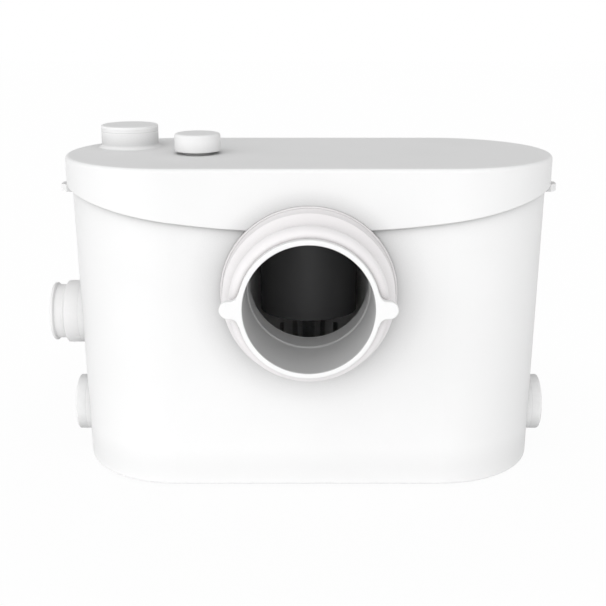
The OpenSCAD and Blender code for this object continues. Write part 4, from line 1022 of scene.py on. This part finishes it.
class PUMP_OT_side_inlets(bpy.types.Operator):
    """Build the upper sleeve and the two blanking caps"""
    bl_idname = "pump.side_inlets"
    bl_label = "Side inlets"

    def execute(self, context):
        self.cap(LEFT, "left_inlet_cap", "left_cap_body")
        self.cap(RIGHT, "right_inlet_cap", "right_cap_body")
        self.sleeve()
        return {"FINISHED"}

    def cap(self, side, node, body):
        s = inlets()
        low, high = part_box(node)
        near = min(abs(low.x), abs(high.x))
        far = max(abs(low.x), abs(high.x))
        hollow_r, floor, bevel = s.side_bore + 0.0023, 0.0024, 0.0011
        corners = [
            (hollow_r, near, 0.0002), (s.cap_r, near - s.seam_close, 0.0001),
            (s.cap_r, far - bevel, 0.0005), (s.cap_r - bevel, far, 0.0008), (0, far, 0),
            (0, far - floor, 0), (hollow_r, far - floor, 0.0008)]
        place = to_side(side, 0, (low.z + high.z) / 2)
        mould(node + "_moulding", corners, place, "side_cap_plastic", body, "white_plastic", node)

    def sleeve(self):
        s = inlets()
        node = "upper_inlet_sleeve"
        low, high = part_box(node)
        near, far = -high.x, -low.x
        collar, flare, ridge, ridge_w = far - s.sleeve_collar, 0.0008, 0.0006, 0.0022
        slope, lip, seat = 0.0016, 0.0022, far - 0.0173
        grip_r, groove_r, lip_r = s.side_bore + 0.0021, s.sleeve_groove_r, s.sleeve_lip_r
        ease = 0.0003
        corners = [
            (grip_r, near, 0), (s.sleeve_r, near - s.seam_close, 0.0001), (s.sleeve_r, collar, 0.0009),
            (groove_r + ridge, collar + flare, ease), (groove_r + ridge, collar + ridge_w, ease),
            (groove_r, collar + ridge_w + ridge, ease), (groove_r, far - lip - slope, ease),
            (lip_r, far - lip, ease), (lip_r, far, 0.0013), (s.side_bore, far, 0.0012),
            (s.side_bore, seat, 0), (grip_r, seat, 0)]
        place = to_side(LEFT, 0, (low.z + high.z) / 2)
        mould("upper_sleeve", corners, place, "sleeve_rubber", "tank_body", "white_rubber", node)


# Caps on the lid


class PUMP_OT_lid_caps(bpy.types.Operator):
    """Build the outlet cap and the vent cap"""
    bl_idname = "pump.lid_caps"
    bl_label = "Lid caps"
    wall = 0.002
    play = 0.0003

    def execute(self, context):
        self.outlet_cap()
        self.vent_cap()
        return {"FINISHED"}

    def outlet_cap(self):
        s = shell()
        low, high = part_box("outlet_cap")
        plug_r = s.turret_bore - self.play
        hollow_r = plug_r - self.wall
        disc = 0.0027
        seat = high.z - disc
        corners = [
            (0, seat, 0), (hollow_r, seat, 0.0005), (hollow_r, low.z, 0.0004),
            (plug_r, low.z, 0.0006), (plug_r, seat, 0.0002), (s.turret_r, seat, 0.0001),
            (s.turret_r, high.z, 0.0022), (0, high.z, 0)]
        mould("outlet_cap_moulding", corners, middle_of("outlet_cap"), "cap_plastic", "outlet_cap_body",
              "white_plastic", "outlet_cap")

    def vent_cap(self):
        s = shell()
        low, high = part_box("vent_cap")
        at = middle_of("vent_cap")
        roof, brim = high.z - self.wall, s.lid_top + s.vent_gap
        stem_r = s.vent_hole - self.play
        hollow_r, under_r = stem_r - self.wall, s.vent_r - self.wall
        profile = rounded([
            (0, roof, 0), (hollow_r, roof, 0.0004), (hollow_r, low.z, 0.0003),
            (stem_r, low.z, 0.0006), (stem_r, roof, 0.0004), (under_r, roof, 0.0008),
            (under_r, brim, 0.0004), (s.vent_r, brim, 0.0006), (s.vent_r, high.z, 0.0028),
            (0, high.z, 0)], 8)
        cap = revolve("vent_cap_moulding", profile, at)
        centre = Vector(at(0, 0, 0))
        reach, half, bridge = 0.013, 0.0025, 0.001
        for turn in (0, 60, 120):
            slit = block("slit", (-reach, -half, brim), (reach, half, roof - bridge))
            slit.data.transform(Matrix.Translation(centre) @ Matrix.Rotation(math.radians(turn), 4, "Z"))
            combine(cap, slit, "DIFFERENCE")
        smooth(cap)
        dress(cap, "cap_plastic", "vent_cap_body", "white_plastic", "vent_cap")


# Repeats


def solids(node):
    """Boxes of a node's separate solids, from left to right."""
    bm = bmesh.new()
    bm.from_mesh(frame["nodes"][node].data)
    bmesh.ops.remove_doubles(bm, verts=bm.verts, dist=SAME_CAD_POINT)
    waiting = set(bm.verts)
    boxes = []
    while waiting:
        group, edge = [], [waiting.pop()]
        while edge:
            vert = edge.pop()
            group.append(vert.co.copy())
            for joined in (e.other_vert(vert) for e in vert.link_edges):
                if joined in waiting:
                    waiting.remove(joined)
                    edge.append(joined)
        low = Vector([min(p[i] for p in group) for i in range(3)])
        high = Vector([max(p[i] for p in group) for i in range(3)])
        boxes.append((low, high))
    bm.free()
    return sorted(boxes, key=lambda box: (round(box[0].x, 5), round(box[0].y, 5)))


def repeat_tree(name, inputs):
    """A geometry tree that makes a mesh of a given finish."""
    return new_tree("GeometryNodeTree", name, [*inputs, ("Finish", "Material")], [("Result", "Geometry")])


def close_tree(tree, given, result, points, piece, turn):
    """Sets a piece on each point, turned a step further each time, and gives the whole its finish."""
    index = tree.nodes.new("GeometryNodeInputIndex")
    spin = add(tree, "ShaderNodeCombineXYZ", {"Z": maths(tree, "MULTIPLY", index.outputs["Index"], turn)})
    place = add(tree, "GeometryNodeInstanceOnPoints", {
        "Points": points, "Instance": piece, "Rotation": spin.outputs["Vector"]})
    whole = add(tree, "GeometryNodeRealizeInstances", {"Geometry": place.outputs["Instances"]})
    paint = add(tree, "GeometryNodeSetMaterial", {
        "Geometry": whole.outputs["Geometry"], "Material": given["Finish"]})
    feed(tree, result["Result"], paint.outputs["Geometry"])
    return tree


def copies_tree(name):
    """A tree that sets a copy of a small piece on every point of its mesh."""
    tree, given, result = repeat_tree(name, [
        ("Points", "Geometry"), ("Copy", "Object"), ("Turn step", "Float")])
    piece = add(tree, "GeometryNodeObjectInfo", {"Object": given["Copy"]})
    return close_tree(tree, given, result, given["Points"], piece.outputs["Geometry"], given["Turn step"])


def winding_tree(name):
    """A tree that lays turns of wire side by side round a ring."""
    tree, given, result = repeat_tree(name, [
        ("Points", "Geometry"), ("Turns", "Int"), ("Ring radius", "Float"), ("Half width", "Float"),
        ("Half height", "Float"), ("Wire radius", "Float")])
    ring = add(tree, "GeometryNodeMeshCircle", {"Vertices": given["Turns"], "Radius": given["Ring radius"]})
    turn = add(tree, "GeometryNodeCurvePrimitiveCircle", {"Resolution": 20, "Radius": 1.0})
    size = add(tree, "ShaderNodeCombineXYZ", {
        "X": given["Half width"], "Y": given["Half height"], "Z": 1.0})
    stand = add(tree, "GeometryNodeTransform", {
        "Geometry": turn.outputs["Curve"], "Rotation": (math.pi / 2, 0, 0),
        "Scale": size.outputs["Vector"]})
    wire = add(tree, "GeometryNodeCurvePrimitiveCircle", {"Resolution": 6, "Radius": given["Wire radius"]})
    sweep = add(tree, "GeometryNodeCurveToMesh", {
        "Curve": stand.outputs["Geometry"], "Profile Curve": wire.outputs["Curve"]})
    step = maths(tree, "DIVIDE", FULL_TURN, given["Turns"])
    return close_tree(tree, given, result, ring.outputs["Mesh"], sweep.outputs["Mesh"], step)


TREES = {"copies_on_points": copies_tree, "wound_ring": winding_tree}


def run_tree(name, points, kind, values):
    """Runs a tree, made on its first use, on a mesh of points and keeps its result as a plain mesh."""
    tree = bpy.data.node_groups.get(kind) or TREES[kind](kind)
    mesh = bpy.data.meshes.new(name)
    mesh.from_pydata([tuple(p) for p in points], [], [])
    obj = new_object(name, mesh)
    repeat = obj.modifiers.new("repeat", "NODES")
    repeat.node_group = tree
    names = {item.name: item.identifier for item in tree.interface.items_tree if item.in_out == "INPUT"}
    for label, value in values.items():
        repeat[names[label]] = value
    bake_modifiers(obj)
    return obj


def set_copies(name, points, copy, finish, turn=0.0):
    """Copies of one small piece on points, as one plain mesh. The piece itself is removed."""
    smooth(copy)
    made = run_tree(name, points, "copies_on_points", {
        "Copy": copy, "Turn step": turn, "Finish": bpy.data.materials[finish]})
    bpy.data.objects.remove(copy)
    return made


class PUMP_OT_screws(bpy.types.Operator):
    """Turn the deck, motor and volute screws with pan heads and cross recesses"""
    bl_idname = "pump.screws"
    bl_label = "Screws"

    def execute(self, context):
        head = inner().head_height
        for node, core_r in (("deck_screws", 0.0016), ("motor_screws", 0.002), ("volute_screws", 0.002)):
            boxes = solids(node)
            low, high = boxes[0]
            copy = self.screw((high.x - low.x) / 2, head, core_r, high.z - head - low.z)
            points = [((a.x + b.x) / 2, (a.y + b.y) / 2, b.z - head) for a, b in boxes]
            screws = set_copies(node + "_turned", points, copy, "steel", 0.7)
            dress(screws, "steel", "tank_body", "steel", node)
        return {"FINISHED"}

    def screw(self, head_r, head, core_r, depth):
        """A pan head screw whose head sits at the origin."""
        profile = rounded([
            (0, -depth, 0), (core_r * 0.5, -depth, 0), (core_r, -depth + core_r, 0), (core_r, 0, 0),
            (head_r, 0, 0.0002), (head_r, head * 0.5, head * 0.3), (head_r * 0.6, head, head * 0.4),
            (0, head, 0)], 3)
        screw = revolve("screw", profile, upright(0, 0), 24)
        half, reach = inner().recess_width / 2, head_r * 0.55
        for x, y in ((half, reach), (reach, half)):
            slot = block("slot", (-x, -y, head * 0.45), (x, y, head * 1.5))
            combine(screw, slot, "DIFFERENCE")
        return screw


class PUMP_OT_feet(bpy.types.Operator):
    """Mould the rubber feet with grooved soles"""
    bl_idname = "pump.feet"
    bl_label = "Feet"

    def execute(self, context):
        boxes = solids("tank_feet")
        low, high = boxes[0]
        r, height = (high.x - low.x) / 2, high.z - low.z
        cut, soft = 0.0007, 0.0004
        sole = [(0, 0, 0)]
        for part_of_r in (0.3, 0.55, 0.8):
            at = r * part_of_r
            sole += [(at - cut, 0, soft), (at - cut / 2, cut, 0)]
            sole += [(at + cut / 2, cut, 0), (at + cut, 0, soft)]
        sole += [(r, 0, 0.0008), (r, height, 0.0003), (0, height, 0)]
        foot = revolve("foot", rounded(sole, 3), upright(0, 0), 48)
        points = [((a.x + b.x) / 2, (a.y + b.y) / 2, a.z) for a, b in boxes]
        feet = set_copies("feet_moulding", points, foot, "black_rubber")
        dress(feet, "black_rubber", "tank_body", "black_rubber", "tank_feet")
        return {"FINISHED"}


class PUMP_OT_windings(bpy.types.Operator):
    """Wind the two end turns of the motor's coils"""
    bl_idname = "pump.windings"
    bl_label = "Windings"

    def execute(self, context):
        wire = inner().wire_r
        mesh = frame["nodes"]["stator_windings"].data
        under_wire = 0.97
        whole = None
        for low, high in sorted(solids("stator_windings"), key=lambda box: box[0].z):
            centre = (low + high) / 2
            out_r = (high.x - low.x) / 2
            in_r = min(math.hypot(v.co.x - centre.x, v.co.y - centre.y) for v in mesh.vertices)
            middle_r = (in_r + out_r) / 2
            half_w, half_h = (out_r - in_r) / 2 - wire, (high.z - low.z) / 2 - wire
            ring = run_tree("end_turns", [(0, 0, 0)], "wound_ring", {
                "Turns": inner().winding_turns, "Ring radius": middle_r, "Half width": half_w,
                "Half height": half_h, "Wire radius": wire, "Finish": bpy.data.materials["copper_wire"]})
            ring.data.transform(Matrix.Translation(centre))
            core = [(middle_r + half_w * x * under_wire, centre.z + half_h * y * under_wire)
                    for x, y in quarter((0, 0), 1.0, 0, 360, 24)[:-1]]
            join(ring, revolve("core", core, upright(centre.x, centre.y), 96))
            if whole:
                join(whole, ring)
            else:
                whole = ring
        whole.name = "end_windings"
        whole.data.shade_smooth()
        dress(whole, "copper_wire", "tank_body", "copper_wire", "stator_windings")
        return {"FINISHED"}


# Inner pieces


def eased_copy(node, finish, body, slot, width=None):
    """A finished copy of a CAD node with eased edges, which stands for that node."""
    obj = new_object(node + "_eased", frame["nodes"][node].data.copy())
    with edited(obj.data) as bm:
        bmesh.ops.remove_doubles(bm, verts=bm.verts, dist=SAME_CAD_POINT)
        bmesh.ops.dissolve_limit(bm, angle_limit=math.radians(0.5), verts=bm.verts, edges=bm.edges)
    ease = obj.modifiers.new("ease", "BEVEL")
    ease.width = width or inner().edge_ease
    ease.segments = 2
    ease.limit_method = "ANGLE"
    ease.angle_limit = math.radians(40)
    bake_modifiers(obj)
    smooth(obj)
    return dress(obj, finish, body, slot, node)


class PUMP_OT_eased_pieces(bpy.types.Operator):
    """Ease the edges of the flaps, the cutter, the nuts and the switch"""
    bl_idname = "pump.eased_pieces"
    bl_label = "Eased pieces"

    def execute(self, context):
        soft = 0.0006
        for side in ("upper", "left", "right"):
            eased_copy(side + "_inlet_flap", "black_rubber", side + "_flap_body", "black_rubber", soft)
        for node in ("macerator_blade", "blade_nut", "impeller_nut"):
            eased_copy(node, "steel", "rotor_body", "steel")
        for node in ("gland_locknut", "microswitch"):
            eased_copy(node, "dark_plastic", "tank_body", "dark_plastic")
        eased_copy("capacitor_clip", "steel", "tank_body", "steel")
        return {"FINISHED"}


class PUMP_OT_electrics(bpy.types.Operator):
    """Build the capacitor's rolled can, the terminal block with its screws and the ribbed gland"""
    bl_idname = "pump.electrics"
    bl_label = "Electrics"

    def execute(self, context):
        self.capacitor()
        self.terminals()
        self.gland()
        return {"FINISHED"}

    def capacitor(self):
        low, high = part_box("capacitor")
        r, end = (high.z - low.z) / 2, high.x
        roll, sunk, waist, soft = 0.0022, 0.0016, 0.0008, 0.0006
        corners = [
            (0, low.x, 0), (r, low.x, 0.003), (r, end - roll * 2, soft),
            (r - waist, end - roll * 1.5, soft), (r, end - roll, soft), (r, end, 0.0012),
            (r - roll, end, 0.0008), (r - roll, end - sunk, 0.0004), (0, end - sunk, 0)]
        place = to_side(RIGHT, (low.y + high.y) / 2, (low.z + high.z) / 2)
        mould("capacitor_can", corners, place, "inner_plastic", "tank_body", "inner_plastic", "capacitor",
              ease=6, steps=96)

    def terminals(self):
        eased_copy("terminal_block", "inner_plastic", "tank_body", "inner_plastic", 0.0005)
        low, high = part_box("terminal_block")
        ways, r, seat = 5, 0.0022, 0.0049
        rim_z, top_z, slot_z, past = 0.002, 0.0023, 0.0013, 0.003
        screw = revolve("slotted", rounded([
            (0, 0, 0), (r, 0, 0), (r, rim_z, 0.0006), (0, top_z, 0)], 3), upright(0, 0), 24)
        half = 0.0003
        slot = block("slot", (-past, -half, slot_z), (past, half, past))
        combine(screw, slot, "DIFFERENCE")
        pitch = (high.x - low.x) / ways
        points = [(low.x + (i + 0.5) * pitch, (low.y + high.y) / 2, high.z - seat) for i in range(ways)]
        screws = set_copies("terminal_screws", points, screw, "brass_plate", 0.9)
        dress(screws, "brass_plate", "tank_body", "copper_wire")

    def gland(self):
        eased_copy("cable_gland", "dark_plastic", "tank_body", "dark_plastic")
        low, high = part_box("cable_gland")
        r, count = inner().gland_dome_r, inner().gland_ribs
        dome, half, foot, short = 0.009, 0.0006, 0.001, 0.0015
        rib = block("rib", (-half, -half, foot), (half, half, dome - short), 0.0003)
        points = [(r * math.cos(FULL_TURN * k / count), r * math.sin(FULL_TURN * k / count), 0)
                  for k in range(count)]
        ribs = set_copies("gland_ribs", points, rib, "dark_plastic", FULL_TURN / count)
        turn = Matrix.Rotation(-math.pi / 2, 4, "X")
        at = Vector(((low.x + high.x) / 2, high.y - dome, (low.z + high.z) / 2))
        ribs.data.transform(Matrix.Translation(at) @ turn)
        dress(ribs, "dark_plastic", "tank_body", "dark_plastic")


# Add-on


class PUMP_PT_sidebar(bpy.types.Panel):
    """Buttons for each group of pieces"""
    bl_idname = "PUMP_PT_sidebar"
    bl_label = "Macerator pump"
    bl_space_type = "VIEW_3D"
    bl_region_type = "UI"
    bl_category = "Pump"

    def draw(self, context):
        for operator in OPERATORS:
            self.layout.operator(operator.bl_idname)


SETTINGS = {
    "pump_shell": ShellSizes,
    "pump_inlets": InletSizes,
    "pump_finishes": Finishes,
    "pump_stage": StageSettings,
    "pump_inner": InnerSizes,
}
OPERATORS = (
    PUMP_OT_stage, PUMP_OT_finishes, PUMP_OT_lid, PUMP_OT_closet_inlet, PUMP_OT_side_inlets,
    PUMP_OT_lid_caps, PUMP_OT_screws, PUMP_OT_feet, PUMP_OT_windings, PUMP_OT_eased_pieces,
    PUMP_OT_electrics)
CLASSES = (*SETTINGS.values(), *OPERATORS, PUMP_PT_sidebar)


def register():
    for cls in CLASSES:
        bpy.utils.register_class(cls)
    for name, cls in SETTINGS.items():
        setattr(bpy.types.Scene, name, PointerProperty(type=cls))


def unregister():
    for name in SETTINGS:
        delattr(bpy.types.Scene, name)
    for cls in reversed(CLASSES):
        bpy.utils.unregister_class(cls)


def main():
    register()
    for operator in OPERATORS:
        group, step = operator.bl_idname.split(".")
        getattr(getattr(bpy.ops, group), step)()


if __name__ == "__main__":
    main()
